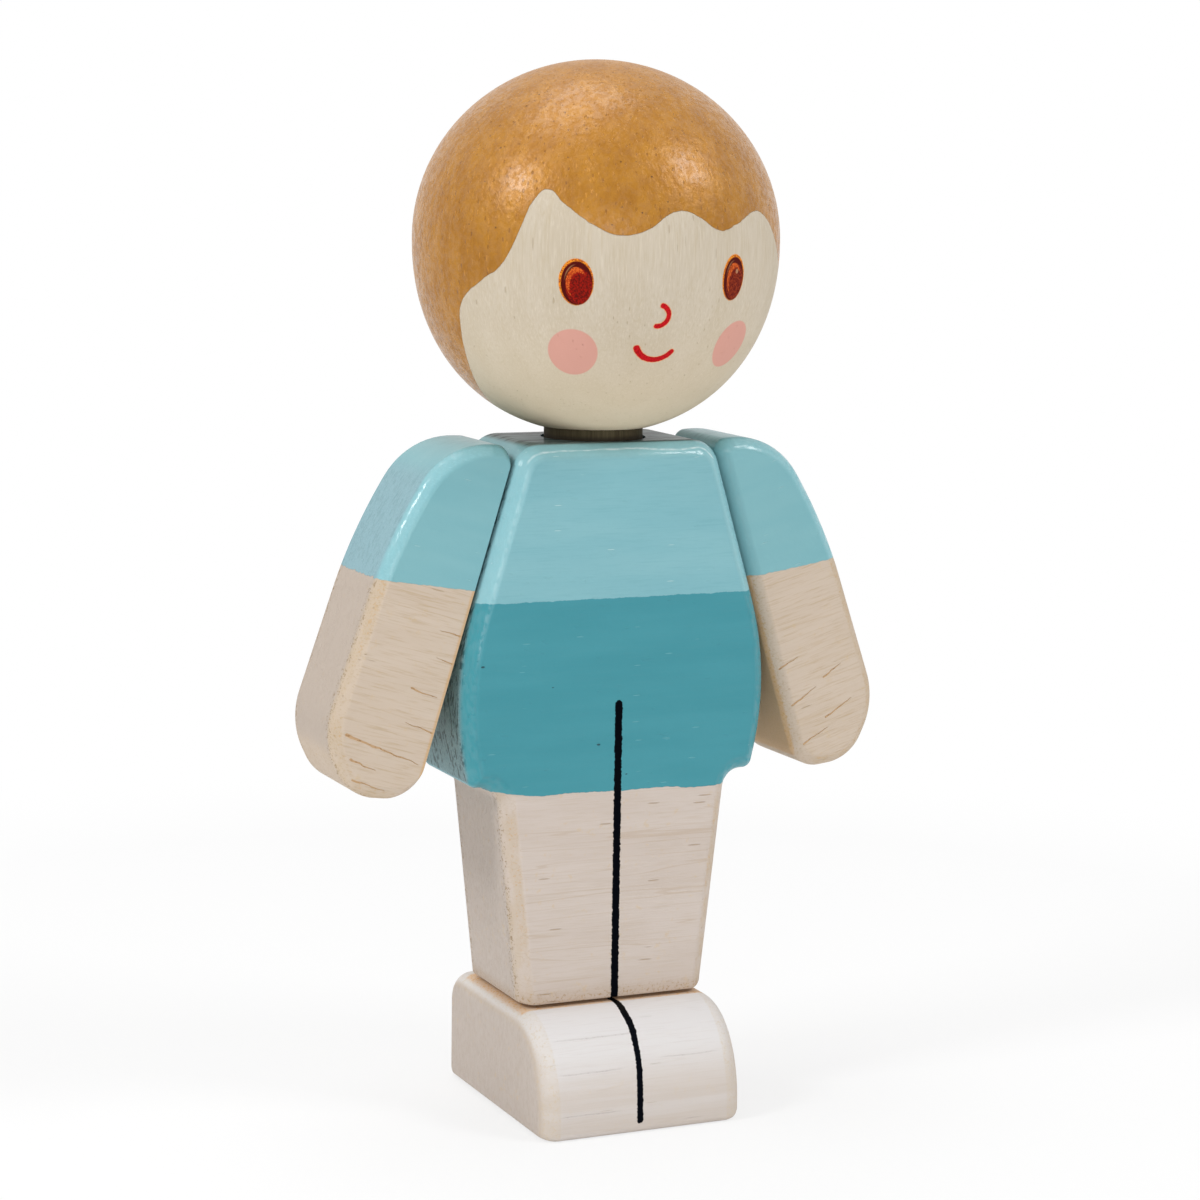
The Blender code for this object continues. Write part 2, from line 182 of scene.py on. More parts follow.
def solid_piece(bm, name):
    """A closed mesh with smooth faces and sharp arrises, as a piece."""
    bmesh.ops.recalc_face_normals(bm, faces=bm.faces)
    mesh = bpy.data.meshes.new(name)
    bm.to_mesh(mesh)
    bm.free()
    mesh.shade_smooth()
    mesh.set_sharp_from_angle(angle=SHARP)
    piece = bpy.data.objects.new(name, mesh)
    bpy.context.collection.objects.link(piece)
    return piece


def board_piece(outline_at, thickness, edge_round, edge_turns, place, name, seed):
    """A sawn board, in rings of its outline. Its edges turn from the first angle to the second, so
    that they meet its side and its flat face in an arris, unless they turn from 0 to 90 degrees."""
    first, last = edge_turns
    steps = []
    for step in range(EDGE_STEPS + 1):
        angle = first + (last - first) * step / EDGE_STEPS
        towards_flat = (sin(angle) - sin(first)) / (sin(last) - sin(first))
        inwards = (cos(first) - cos(angle)) / (cos(first) - cos(last))
        steps.append((thickness / 2 - edge_round * (1 - towards_flat), edge_round * inwards))
    steps.insert(0, (steps[0][0] - HOLDING_EDGE, 0.0))
    steps.append((steps[-1][0], steps[-1][1] + HOLDING_EDGE))
    sides = [(-out, inset) for out, inset in reversed(steps)] + steps
    bm = bmesh.new()
    rings = []
    for out, inset in sides:
        outline = [Vector(point) for point in outline_at(inset)]
        middle = sum(outline, Vector((0.0, 0.0))) / len(outline)
        verts = []
        for point in outline:
            less = hand_sanded((point.x, out, point.y), seed)
            sanded = point + (middle - point).normalized() * less
            verts.append(bm.verts.new(place(sanded.x, out, sanded.y)))
        rings.append(verts)
    for lower, upper in zip(rings, rings[1:]):
        for i in range(len(lower)):
            bm.faces.new((lower[i - 1], lower[i], upper[i], upper[i - 1]))
    bm.faces.new(rings[0])
    bm.faces.new(rings[-1])
    return solid_piece(bm, name)


def turned_piece(profile, name, steps):
    """A piece turned about Z from (radius, height) points."""
    bm = bmesh.new()
    verts = [bm.verts.new((radius, 0.0, height)) for radius, height in profile]
    edges = [bm.edges.new(pair) for pair in zip(verts, verts[1:])]
    about_z = {"cent": (0.0, 0.0, 0.0), "axis": (0.0, 0.0, 1.0), "angle": tau}
    bmesh.ops.spin(bm, geom=verts + edges, steps=steps, use_merge=True, **about_z)
    bmesh.ops.remove_doubles(bm, verts=bm.verts, dist=0.00001 * MM)
    return solid_piece(bm, name)


def bored(piece, bores):
    """Drills a piece. A bore is (radius, start, end) along Z, then where it lies."""
    cutters = []
    for radius, start, end, lie in bores:
        profile = [(0.0, start), (radius, start), (radius, end), (0.0, end)]
        cutter = turned_piece(profile, "drill", DRILL_STEPS)
        cutter.matrix_world = lie
        cut = piece.modifiers.new("bore", "BOOLEAN")
        cut.operation = "DIFFERENCE"
        cut.solver = "EXACT"
        cut.object = cutter
        cutters.append(cutter)
    bpy.context.view_layer.update()
    ready = piece.evaluated_get(bpy.context.evaluated_depsgraph_get())
    mesh = bpy.data.meshes.new_from_object(ready)
    piece.modifiers.clear()
    piece.data = mesh
    mesh.shade_smooth()
    mesh.set_sharp_from_angle(angle=SHARP)
    for cutter in cutters:
        bpy.data.objects.remove(cutter, do_unlink=True)


def seen(red, green, blue):
    """A paint's colour from the 0 to 255 values that it shows in plain light."""
    shares = (value / 255 for value in (red, green, blue))
    return tuple(((s + 0.055) / 1.055) ** 2.4 if s > 0.04045 else s / 12.92 for s in shares)


def operator(operation, reflected=False):
    """A method that adds an operation's Math node, with its two values swapped if reflected."""

    def work_out(value, other):
        pair = (other, value) if reflected else (value, other)
        return value.math(operation, *pair)

    return work_out


class Value:
    """A value in a finish. Arithmetic on it adds the Math nodes that work it out."""

    def __init__(self, finish, link):
        self.finish = finish
        self.link = link

    def math(self, operation, first, second=0.0):
        return self.finish.node("Math", {"operation": operation}, {0: first, 1: second})

    def __abs__(self):
        return self.math("ABSOLUTE", self)

    __add__ = operator("ADD")
    __radd__ = operator("ADD", reflected=True)
    __sub__ = operator("SUBTRACT")
    __rsub__ = operator("SUBTRACT", reflected=True)
    __mul__ = operator("MULTIPLY")
    __rmul__ = operator("MULTIPLY", reflected=True)
    __truediv__ = operator("DIVIDE")
    __pow__ = operator("POWER")
    __lt__ = operator("LESS_THAN")
    __gt__ = operator("GREATER_THAN")
    or_more = operator("MAXIMUM")
    or_less = operator("MINIMUM")


class Nodes:
    """A node tree to which every node is added in one way. Colours are given as seen, 0 to 255."""

    def __init__(self, tree):
        self.tree = tree

    def node(self, kind, settings=None, inputs=None, output=0):
        """Adds a node: first its settings, then its sockets' values or links."""
        made = self.tree.nodes.new("ShaderNode" + kind)
        for name, value in (settings or {}).items():
            if name == "curve":
                self.draw_curve(made.mapping, value)
            else:
                setattr(made, name, value)
        for name, value in (inputs or {}).items():
            self.feed(made.inputs[name], value)
        return Value(self, made.outputs[output])

    def draw_curve(self, mapping, points):
        curve = mapping.curves[0]
        curve.points[0].location = points[0]
        curve.points[1].location = points[-1]
        for point in points[1:-1]:
            curve.points.new(*point)
        mapping.update()

    def feed(self, socket, value):
        if isinstance(value, Value):
            self.tree.links.new(value.link, socket)
        elif socket.type == "RGBA":
            socket.default_value = (*seen(*value), 1.0)
        else:
            socket.default_value = value


class Finish(Nodes):
    """A material whose pattern is written as arithmetic on values, in millimetres on the piece."""

    def __init__(self, name, specular, middle=(0.0, 0.0, 0.0), lean=0.0):
        self.material = bpy.data.materials.new(name)
        self.material.use_nodes = True
        super().__init__(self.material.node_tree)
        self.shader = self.tree.nodes["Principled BSDF"]
        self.give("Specular IOR Level", specular)
        metres = self.node("TexCoord", output="Object")
        from_middle = self.vector("SUBTRACT", metres, {1: middle})
        self.place = self.vector("SCALE", self.upright(from_middle, lean), {3: 1 / MM})
        self.x, self.y, self.z = self.parts(self.place)
        normal = self.upright(self.node("TexCoord", output="Normal"), lean)
        self.facing_x, self.facing_y, self.facing_z = self.parts(normal)

    def upright(self, vector, lean):
        """Turns a leaning piece's places or facings upright, about Y."""
        if not lean:
            return vector
        settings = {"rotation_type": "Y_AXIS"}
        return self.node("VectorRotate", settings, {"Vector": vector, "Angle": lean})

    def parts(self, vector):
        return [self.node("SeparateXYZ", inputs={0: vector}, output=i) for i in range(3)]

    def vector(self, operation, first, others):
        return self.node("VectorMath", {"operation": operation}, {0: first, **others})

    def stretched(self, shares, shift):
        """The place on the piece, stretched by a share along each axis, and shifted."""
        scaled = self.vector("MULTIPLY", self.place, {1: shares})
        return self.vector("ADD", scaled, {1: (shift, shift * 1.7, shift * 0.6)})

    def cloud(self, spot, scale, detail=2.0, roughness=0.5):
        """Noise from 0 to 1, with that many lumps to the millimetre."""
        inputs = {"Vector": spot, "Scale": scale, "Detail": detail, "Roughness": roughness}
        return self.node("TexNoise", None, inputs)

    def nearest(self, spot, scale, output="Distance"):
        """How far the nearest of many points scattered in space is, or that point's colour."""
        return self.node("TexVoronoi", None, {"Vector": spot, "Scale": scale}, output)

    def scattered(self, spot, scale, edge, core, left_out):
        """Scattered dots, 0 from their edge and 1 in their core, but for a share left out."""
        chance = self.parts(self.nearest(spot, scale, "Color"))[0]
        return self.rise(self.nearest(spot, scale), edge, core) * (chance > left_out)

    def rise(self, value, low, high):
        """From 0 at low to 1 at high, smoothly."""
        settings = {"interpolation_type": "SMOOTHSTEP"}
        return self.node("MapRange", settings, {0: value, 1: low, 2: high})

    def mix(self, share, first, second):
        """One colour turning into another."""
        settings = {"data_type": "RGBA"}
        return self.node("Mix", settings, {0: share, 6: first, 7: second}, 2)

    def bump(self, height, depth):
        """Relief on the surface, depth millimetres for a height of 1."""
        inputs = {"Strength": 1.0, "Distance": depth * MM, "Height": height}
        self.give("Normal", self.node("Bump", None, inputs))

    def give(self, socket, value):
        """Sets a socket of the shader, or links to it what varies over the surface."""
        self.feed(self.shader.inputs[socket], value)

    def wear(self, piece):
        """Puts the finish on a piece."""
        piece.data.materials.clear()
        piece.data.materials.append(self.material)


def wood_figure(f, along, seed):
    """What the wood shows: fibres, bands, thin lines, and pores, as dashes or on ends as dots."""

    def spot(stretch, upright=1.0):
        shares = [1.0, 1.0, upright]
        shares[along] = stretch
        return f.stretched(shares, seed)

    fibres = f.cloud(spot(0.05), 6.0, 3.0, 0.65)
    bands = f.rise(f.cloud(spot(0.15), 0.4, 2.0), 0.3, 0.7)
    wander = abs(f.cloud(spot(0.035), 0.9, 1.0) - 0.5)
    lines = f.rise(wander, 0.014, 0.004)
    dashes = f.scattered(spot(0.08), 2.4, 0.16, 0.09, 0.72)
    dots = f.scattered(spot(0.02, 0.6), 2.0, 0.3, 0.16, 0.35)
    return fibres, bands, lines, dashes, dots


def whitewashed(f, figure, end_grain):
    """Bare light wood washed over with thin white."""
    fibres, bands, lines, dashes, dots = figure
    colour = f.mix(bands, (207, 195, 186), (202, 189, 179))
    colour = f.mix(f.rise(fibres, 0.42, 0.72) * 0.3, colour, (190, 172, 151))
    colour = f.mix(lines * 0.3, colour, (182, 158, 130))
    colour = f.mix(dashes * 0.5, colour, (172, 138, 98))
    # End grain is rougher and dotted, and its colours are also painted a little greyer and darker:
    # painted shade of the sawn sides.
    sawn = f.cloud(f.stretched((1.0, 1.0, 0.5), 6.0), 3.0, 4.0, 0.65)
    ends = f.mix(f.rise(sawn, 0.35, 0.7), (198, 187, 178), (192, 179, 168))
    ends = f.mix(dots * 0.1, ends, (150, 132, 114))
    colour = f.mix(end_grain, colour, ends)
    stains = f.rise(f.cloud(f.place, 1.1, 3.0, 0.7), 0.6, 0.72)
    return f.mix(stains * 0.35, colour, (206, 180, 136))


def along_edge(f, across, board, low, high):
    """Where a board's rounded edge lies: low and high are shares of the way from its side to its
    flat face. A board is its half thickness and the size of its rounding, in millimetres."""
    half, edge = board
    start, end = half - edge * (1 - low), half - edge * (1 - high)
    return f.rise(across, start - 0.1, start + 0.1) * f.rise(across, end - 0.01, end - 0.15)


def specks(f):
    """Fine dirt and torn fibres, as a mask."""
    return f.rise(f.cloud(f.place, 3.6, 3.0, 0.7), 0.52, 0.64)


def yellowed_edge(f, across, board, colour):
    """Bare wood on a rounded edge: the white has worn off it, and torn fibres dot its side."""
    patchy = f.rise(f.cloud(f.stretched((1.0, 1.0, 0.4), 14.0), 0.8, 3.0), 0.35, 0.6)
    warm = along_edge(f, across, board, 0.05, 1.0) * (0.1 + patchy * 0.25)
    colour = f.mix(warm, colour, (192, 170, 136))
    orange = along_edge(f, across, board, 0.6, 1.0) * specks(f) * patchy
    colour = f.mix(orange * 0.4, colour, (198, 150, 86))
    dotted = along_edge(f, across, board, -0.4, 0.4) * specks(f)
    return f.mix(dotted * 0.7, colour, (142, 116, 80))


def end_grain_holes(f, seed):
    """The open ends of the grain on a sawn side, as dense specks that paint doesn't fill."""
    return f.rise(f.cloud(f.stretched((0.02, 1.0, 0.4), seed), 3.2, 1.0), 0.54, 0.62)


def paint_ticks(f, seed):
    """Short dents along the grain under the paint, as a mask. The finishes paint them lighter: a
    painted highlight, the light that they catch.
    """
    return f.scattered(f.stretched((0.14, 1.0, 1.0), seed), 2.4, 0.17, 0.08, 0.8)


def gloss_on_wood(f, painted, fibres, gloss, edge_band, broken):
    """Gloss paint over wood. Its shine is even on flat faces and broken on rounded edges."""
    f.give("Roughness", 0.62 - painted * 0.12 + fibres * 0.1)
    f.give("Coat Weight", gloss * (0.5 + edge_band * (broken * 0.9 - 0.4)))
    f.give("Coat Roughness", GLOSS_ROUGHNESS)
    f.give("Coat IOR", GLOSS_IOR)


def brushed(f):
    """The paint's own unevenness: broad waves, and finer ones on them."""
    return f.cloud(f.place, 0.7, 2.0) * 0.8 + f.cloud(f.place, 2.2, 2.0) * 0.35


body_finish = Finish("gloss_clothes_on_board", WOOD_SPECULAR)
f = body_finish
end_grain = f.rise(abs(f.facing_x), 0.8, 0.97)
long_grain = 1 - end_grain
board_half = BOARD / 2 / MM
body_board = (board_half, EDGE_ROUND / MM)
edge_band = along_edge(f, abs(f.y), body_board, 0.0, 1.0)
arris = along_edge(f, abs(f.y), body_board, 0.9, 0.99) * f.rise(abs(f.facing_y), 0.985, 0.95)
figure = wood_figure(f, 0, 3.0)
fibres, bands, lines, dashes, dots = figure
bare = yellowed_edge(f, abs(f.y), body_board, whitewashed(f, figure, end_grain))
# The legs are darker and browner towards their bottom edge, dotted with specks.
bottom = f.rise(f.z, body_low.z / MM + 1.7, body_low.z / MM + 0.4)
bare = f.mix(bottom * (0.25 + specks(f) * 0.5), bare, (164, 130, 88))

ragged = f.cloud(f.place, 1.6, 4.0) - 0.5
wavering = f.cloud(f.place, 0.12, 1.0) - 0.5
shirt = f.rise(f.z + ragged * 0.3, HEM_OF_SHIRT - 0.04, HEM_OF_SHIRT + 0.04)
hem = HEM_OF_SHORTS + wavering * 2.4
painted = f.rise(f.z + ragged * 0.3 - hem, -0.04, 0.04)
paint = f.mix(
    shirt,
    f.mix(bands, (66, 147, 159), (60, 142, 154)),
    f.mix(bands, (132, 184, 192), (126, 180, 189)),
)
streaks = f.rise(fibres, 0.45, 0.75)
paint = f.mix(streaks * 0.15, paint, (78, 144, 154))
# The rounded edges are painted paler than the faces: a painted highlight, the light that the edges
# catch, broken up by the grain streaks.
painted_edge_light = f.mix(shirt, (76, 154, 165), (166, 214, 220))
paint = f.mix(edge_band * (0.28 + streaks * 0.15), paint, painted_edge_light)
# A darker line where the rounded edge meets the flat face: painted shade in the crease.
paint = f.mix(arris * 0.3, paint, f.mix(shirt, (52, 122, 134), (96, 150, 158)))
# A thin near-white line along the shirt's top front edge: a painted highlight, the line of light that
# the rounded edge catches, broken up along its length.
on_line = abs(f.y) + (f.cloud(f.stretched((0.3, 1.0, 1.0), 5.0), 0.6, 2.0) - 0.5) * 0.7
edge_rub_and_highlight = along_edge(f, on_line, body_board, 0.66, 0.76) * edge_band
edge_rub_and_highlight = edge_rub_and_highlight * f.rise(f.facing_z, 0.3, 0.42)
broken = f.rise(f.cloud(f.stretched((0.4, 1.0, 0.5), 51.0), 3.6, 3.0, 0.6), 0.4, 0.6)
paint = f.mix(edge_rub_and_highlight * shirt * (0.4 + broken * 0.6), paint, (232, 248, 250))
grain_holes = end_grain_holes(f, 27.0)
# The sawn sides show paint on open end grain, greyer, and are also painted darker: painted shade of
# the sides.
thirsty = f.mix(f.rise(fibres, 0.35, 0.65), (136, 166, 171), (112, 144, 150))
thirsty = f.mix(grain_holes * 0.85, thirsty, (58, 78, 80))
paint = f.mix(end_grain * 0.9, paint, thirsty)
dents_and_painted_glints = paint_ticks(f, 33.0) * long_grain
# The dents are painted lighter than the paint round them: a painted highlight, the glint that they
# catch.
paint = f.mix(dents_and_painted_glints * 0.55, paint, f.mix(shirt, (108, 178, 188), (188, 224, 226)))
pinholes = f.scattered(f.stretched((0.5, 1.0, 1.0), 19.0), 0.5, 0.055, 0.035, 0.5)
pinholes = pinholes * (1 - shirt)
paint = f.mix(pinholes * 0.8, paint, (26, 50, 58))
# The shirt's faces turned up are painted grey with dark streaks along the grain: the streaks are open
# grain, the grey is a painted reflection of the bright surroundings at a grazing angle.
upward = f.rise(f.facing_z, 0.86, 0.97) * shirt
open_grain = f.rise(f.cloud(f.stretched((0.06, 1.0, 1.0), 11.0), 1.5, 3.0, 0.65), 0.42, 0.62)
top_sheen_and_grain = f.mix(open_grain, (114, 128, 125), (42, 50, 48))
paint = f.mix(upward * 0.95, paint, top_sheen_and_grain)
colour = f.mix(painted, bare, paint)

LINE_RAGGED = 0.28
above = (f.z - (LINE_TOP - LINE_HALF_WIDTH)).or_more(0.0)
from_line = (f.x * f.x + above * above) ** 0.5 + (f.cloud(f.place, 4.0, 2.0) - 0.5) * LINE_RAGGED
line = f.rise(from_line, LINE_HALF_WIDTH + 0.03, LINE_HALF_WIDTH - 0.03) * (f.y < 0.0)
colour = f.mix(line, colour, (8, 10, 16))
f.give("Base Color", colour)
f.give("Metallic", line)
gloss = painted * (1 - line) * (1 - end_grain * 0.6) * (1 - upward * 0.5)
gloss_on_wood(f, painted, fibres, gloss, edge_band, broken)
glints = f.rise(f.cloud(f.stretched((0.45, 1.0, 1.0), 17.0), 1.9, 1.0), 0.7, 0.78)
relief = painted * 0.3 + line * 0.3 + fibres * (0.5 - painted * 0.35)
relief = relief - dashes * long_grain * (1 - painted) - dents_and_painted_glints * painted * 0.6
relief = relief - grain_holes * end_grain * 0.7 - upward * open_grain * 0.5 + glints * painted * 0.5
f.bump(relief - pinholes * painted + brushed(f) * painted, 0.05)

centre_along = HIP_HALF_WIDTH - HIP_ROUND
slant_reach = HIP_ROUND + (centre_along - SHOULDER_HALF_WIDTH) * cos(SIDE_SLANT)
centre_high = body_high.z - slant_reach / sin(SIDE_SLANT)
lowest = -asin((centre_high - CROTCH) / HIP_ROUND)
hip = list(arc((centre_along, centre_high), (HIP_ROUND, HIP_ROUND), lowest, SIDE_SLANT, HIP_STEPS))
half_body = [
    (ANKLE_HALF_WIDTH, body_low.z, ANKLE_CORNER_ROUND),
    (THIGH_HALF_WIDTH, CROTCH, CROTCH_CORNER_ROUND),
    (*hip[0], HIP_CORNER_ROUND),
    *((along, high, 0.0) for along, high in hip[1:]),
    (SHOULDER_HALF_WIDTH, body_high.z, SHOULDER_CORNER_ROUND),
]
body_corners = half_body + [(-along, high, radius) for along, high, radius in reversed(half_body)]
body_corners[-1] = (*body_corners[-1], ANKLE_EDGE_LATE)
body = board_piece(
    lambda inset: rounded_outline(body_corners, inset),
    BOARD,
    EDGE_ROUND,
    WORN_EDGE_TURNS,
    lambda along, out, high: (along, out, high),
    "wooden_body",
    1.0,
)

BORE_PROUD = 3.0 * MM
SHOULDER_BELOW_TOP = 6.6 * MM
PIN_IN_BODY = 8.8 * MM
PIN_RADIUS = 1.5 * MM
shoulder_height = body_high.z - SHOULDER_BELOW_TOP
shoulder_aside = SHOULDER_HALF_WIDTH + SHOULDER_BELOW_TOP * tan(SIDE_SLANT)
neck_low, neck_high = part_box("neck_dowel")
dowel_low, dowel_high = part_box("left_foot_dowel")
dowel_radius = (dowel_high.y - dowel_low.y) / 2
dowel_aside = (dowel_low.x + dowel_high.x) / 2


def shoulder_lie(side):
    """Where a shoulder's axis lies: Z out of the body, square to its slanted side."""
    turn = Matrix.Rotation(side * (pi / 2 - SIDE_SLANT), 4, "Y")
    return Matrix.Translation((side * shoulder_aside, 0.0, shoulder_height)) @ turn


body_bores = [(neck_high.y + SEAT, neck_low.z - SEAT, body_high.z + BORE_PROUD, Matrix.Identity(4))]
for side in (1, -1):
    body_bores.append((PIN_RADIUS + SEAT, -PIN_IN_BODY - SEAT, BORE_PROUD, shoulder_lie(side)))
    lie = Matrix.Translation((side * dowel_aside, 0.0, 0.0))
    body_bores.append((dowel_radius + SEAT, body_low.z - BORE_PROUD, dowel_high.z + SEAT, lie))
bored(body, body_bores)
body_finish.wear(body)
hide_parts("body")
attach(body, "trunk")


# The foot block. One block under both legs, with a round heel and toe, grain from side to side,
# wiped with thin white. The black line runs on over the toe. Two dowels hold it to the legs.
FOOT_EDGE_ROUND = 1.8 * MM
HEEL_ROUND = 3.0 * MM
TOE_ROUND_LENGTH = 7.3 * MM
TOE_ROUND_HEIGHT = 9.3 * MM
TOE_STEPS = 28
SOLE_ROUND = 0.7 * MM
SOLE_EDGE_LIFT = 0.35
SOLE_STEPS = 5
FOOT_LINE_BOTTOM = 1.3
FOOT_LINE_HALF_WIDTH = 0.33
FOOT_LINE_DRIFT = 0.55
# A crease is its height, and where it starts and ends across the toe, in millimetres.
FOOT_CREASES = (
    (9.0, -8.4, 0.4), (6.8, 2.0, 8.2), (6.2, -8.6, -2.0), (2.4, -8.8, -2.6), (0.9, 4.0, 6.0),
)

foot_low, foot_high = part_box("foot_block")


def foot_outline(inset):
    """The block from the side: the sole's edges lift a little, the rest is drawn in."""
    heel, toe = foot_high.y - inset, foot_low.y + inset
    heel_round = max(HEEL_ROUND - inset, LEAST_ROUND)
    heel_centre = (heel - heel_round, foot_high.z - inset - heel_round)
    toe_centre = (foot_low.y + TOE_ROUND_LENGTH, foot_high.z - TOE_ROUND_HEIGHT)
    toe_radii = (TOE_ROUND_LENGTH - inset, TOE_ROUND_HEIGHT - inset)
    sole = inset * SOLE_EDGE_LIFT
    under = (SOLE_ROUND, SOLE_ROUND)
    outline = list(arc((heel - SOLE_ROUND, sole + SOLE_ROUND), under, -pi / 2, 0.0, SOLE_STEPS))
    outline += arc(heel_centre, (heel_round, heel_round), 0.0, pi / 2, CORNER_STEPS)
    outline += arc(toe_centre, toe_radii, pi / 2, pi, TOE_STEPS)
    outline += arc((toe + SOLE_ROUND, sole + SOLE_ROUND), under, pi, pi * 1.5, SOLE_STEPS)
    return outline


foot = board_piece(
    foot_outline,
    foot_high.x - foot_low.x,
    FOOT_EDGE_ROUND,
    (0.0, pi / 2),
    lambda along, out, high: (out, along, max(high, 0.0)),
    "wooden_foot_block",
    4.0,
)
foot_bores = []
for side in (1, -1):
    lie = Matrix.Translation((side * dowel_aside, 0.0, 0.0))
    foot_bores.append((dowel_radius + SEAT, dowel_low.z - SEAT, foot_high.z + BORE_PROUD, lie))
bored(foot, foot_bores)

foot_finish = Finish("whitewashed_foot_block", WOOD_SPECULAR)
f = foot_finish
foot_half = foot_high.x / MM
end_grain = f.rise(abs(f.facing_x), 0.75, 0.95)
long_grain = 1 - end_grain
figure = wood_figure(f, 0, 9.0)
fibres, bands, lines, dashes, dots = figure
bare = whitewashed(f, figure, end_grain)
# Faces turned up are painted lighter, near white: painted light from above. Faces turned forward get a
# slightly greyer white.
painted_top_light = f.rise(f.facing_z, 0.12, 0.6) * long_grain
bare = f.mix((1 - painted_top_light) * long_grain * 0.6, bare, (208, 200, 193))
bare = f.mix(painted_top_light * 0.85, bare, (224, 222, 222))
bare = f.mix(f.rise(fibres, 0.5, 0.7) * painted_top_light * 0.25, bare, (204, 195, 192))
swiped = f.rise(f.cloud(f.stretched((0.05, 0.5, 1.0), 61.0), 0.6, 2.0), 0.48, 0.6)
bare = f.mix(swiped * long_grain * 0.25, bare, (222, 219, 220))
creases = 0.0
for crease_height, start, end in FOOT_CREASES:
    waving = (f.cloud(f.stretched((1.0, 0.3, 0.3), crease_height), 0.3, 3.0) - 0.5) * 0.3
    crease = f.rise(abs(f.z - crease_height + waving), 0.08, 0.02) * (f.y < 0.0)
    crease = crease * f.rise(f.x, start - 0.5, start + 1.0) * f.rise(f.x, end + 0.5, end - 1.0)
    creases = crease.or_more(creases)
bare = f.mix(creases * (0.2 + specks(f) * 0.25), bare, (168, 152, 154))
rounded = along_edge(f, abs(f.x), (foot_half, FOOT_EDGE_ROUND / MM), 0.0, 1.0)
bare = f.mix(rounded * (0.15 + specks(f) * 0.3), bare, (206, 186, 154))
on_top = f.rise(f.z, foot_high.z / MM - 0.6, foot_high.z / MM - 0.1)
ankle_half = ANKLE_HALF_WIDTH / MM
by_legs = f.rise(abs(f.y), board_half + 0.4, board_half + 0.1)
by_legs = by_legs * f.rise(abs(f.x), ankle_half + 0.35, ankle_half - 0.05)
bare = f.mix(on_top * by_legs * (0.5 + specks(f) * 0.4), bare, (214, 158, 76))
centre = (foot_high.z / MM - f.z) * (-FOOT_LINE_DRIFT / (foot_high.z / MM))
aside = f.x - centre - (f.cloud(f.place, 0.3, 1.0) - 0.5) * 0.5
below = (FOOT_LINE_BOTTOM - f.z).or_more(0.0)
from_line = (aside * aside + below * below) ** 0.5
from_line = from_line + (f.cloud(f.place, 4.0, 2.0) - 0.5) * LINE_RAGGED
line = f.rise(from_line, FOOT_LINE_HALF_WIDTH + 0.03, FOOT_LINE_HALF_WIDTH - 0.03) * (f.y < -2.0)
f.give("Base Color", f.mix(line, bare, (8, 10, 16)))
f.give("Roughness", 0.52 + fibres * 0.15)
f.give("Metallic", line)
relief = line * 0.3 + fibres * 0.4 - dashes * long_grain * 0.5 - dots * end_grain * 0.3
f.bump(relief - creases * 0.4, 0.05)
foot_finish.wear(foot)
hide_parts("foot_block")
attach(foot, "trunk")


# The neck. A short turned dowel of bare wood, glued into the trunk. Its upper end is turned down
# to a tenon with a groove, in which the head's bush snaps, so that the head turns and stays on.
NECK_GROOVE_DEPTH = 0.7 * MM
NECK_GROOVE_BELOW_TOP = 1.6 * MM
NECK_GROOVE_WIDTH = 1.4 * MM
CHAMFER = 0.4 * MM
HEAD_ABOVE_BODY = 0.35 * MM
HEAD_BUSH_WALL = 0.9 * MM
HEAD_BUSH_RECESS = 1.8 * MM
SHADOW_RING_REACH = 0.5
NECK_STEPS = 96

neck_radius = neck_high.y
tenon_radius = neck_radius - HEAD_BUSH_WALL - SEAT
neck_shoulder = body_high.z + HEAD_ABOVE_BODY + HEAD_BUSH_RECESS - SEAT
groove_top = neck_high.z - NECK_GROOVE_BELOW_TOP
neck_profile = [
    (0.0, neck_low.z),
    (neck_radius - CHAMFER, neck_low.z),
    (neck_radius, neck_low.z + CHAMFER),
    (neck_radius, neck_shoulder),
    (tenon_radius, neck_shoulder),
    (tenon_radius, groove_top - NECK_GROOVE_WIDTH),
    (tenon_radius - NECK_GROOVE_DEPTH, groove_top - NECK_GROOVE_WIDTH),
    (tenon_radius - NECK_GROOVE_DEPTH, groove_top),
    (tenon_radius, groove_top),
    (tenon_radius, neck_high.z - CHAMFER),
    (tenon_radius - CHAMFER, neck_high.z),
    (0.0, neck_high.z),
]
neck = turned_piece(neck_profile, "turned_neck_dowel", NECK_STEPS)


def bare_dowel(name, along, seed, shadow_ring_at):
    """Bare turned wood, its brown-grey painted dark as shade, and darker still in a painted shadow
    ring where it enters its bore.
    """
    made = Finish(name, WOOD_SPECULAR)
    fibres, bands, lines, dashes, dots = wood_figure(made, along, seed)
    # Dark colours: painted shade, for a neck that stands in shadow.
    colour = made.mix(made.rise(fibres, 0.3, 0.7), (90, 82, 60), (72, 64, 44))
    colour = made.mix(bands * 0.3, colour, (78, 66, 52))
    colour = made.mix(dashes * 0.5 + lines * 0.3, colour, (54, 44, 34))
    # A painted shadow ring where the dowel enters its bore.
    painted_shadow_ring = made.rise(abs(made.z - shadow_ring_at), SHADOW_RING_REACH, SHADOW_RING_REACH / 4)
    colour = made.mix(painted_shadow_ring * 0.7, colour, (46, 40, 34))
    made.give("Base Color", colour)
    made.give("Roughness", 0.55 + fibres * 0.2)
    made.bump(fibres * 0.5 - dashes, 0.04)
    return made


bare_dowel("bare_neck_dowel", 2, 15.0, body_high.z / MM).wear(neck)
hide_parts("neck_dowel")
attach(neck, "trunk")


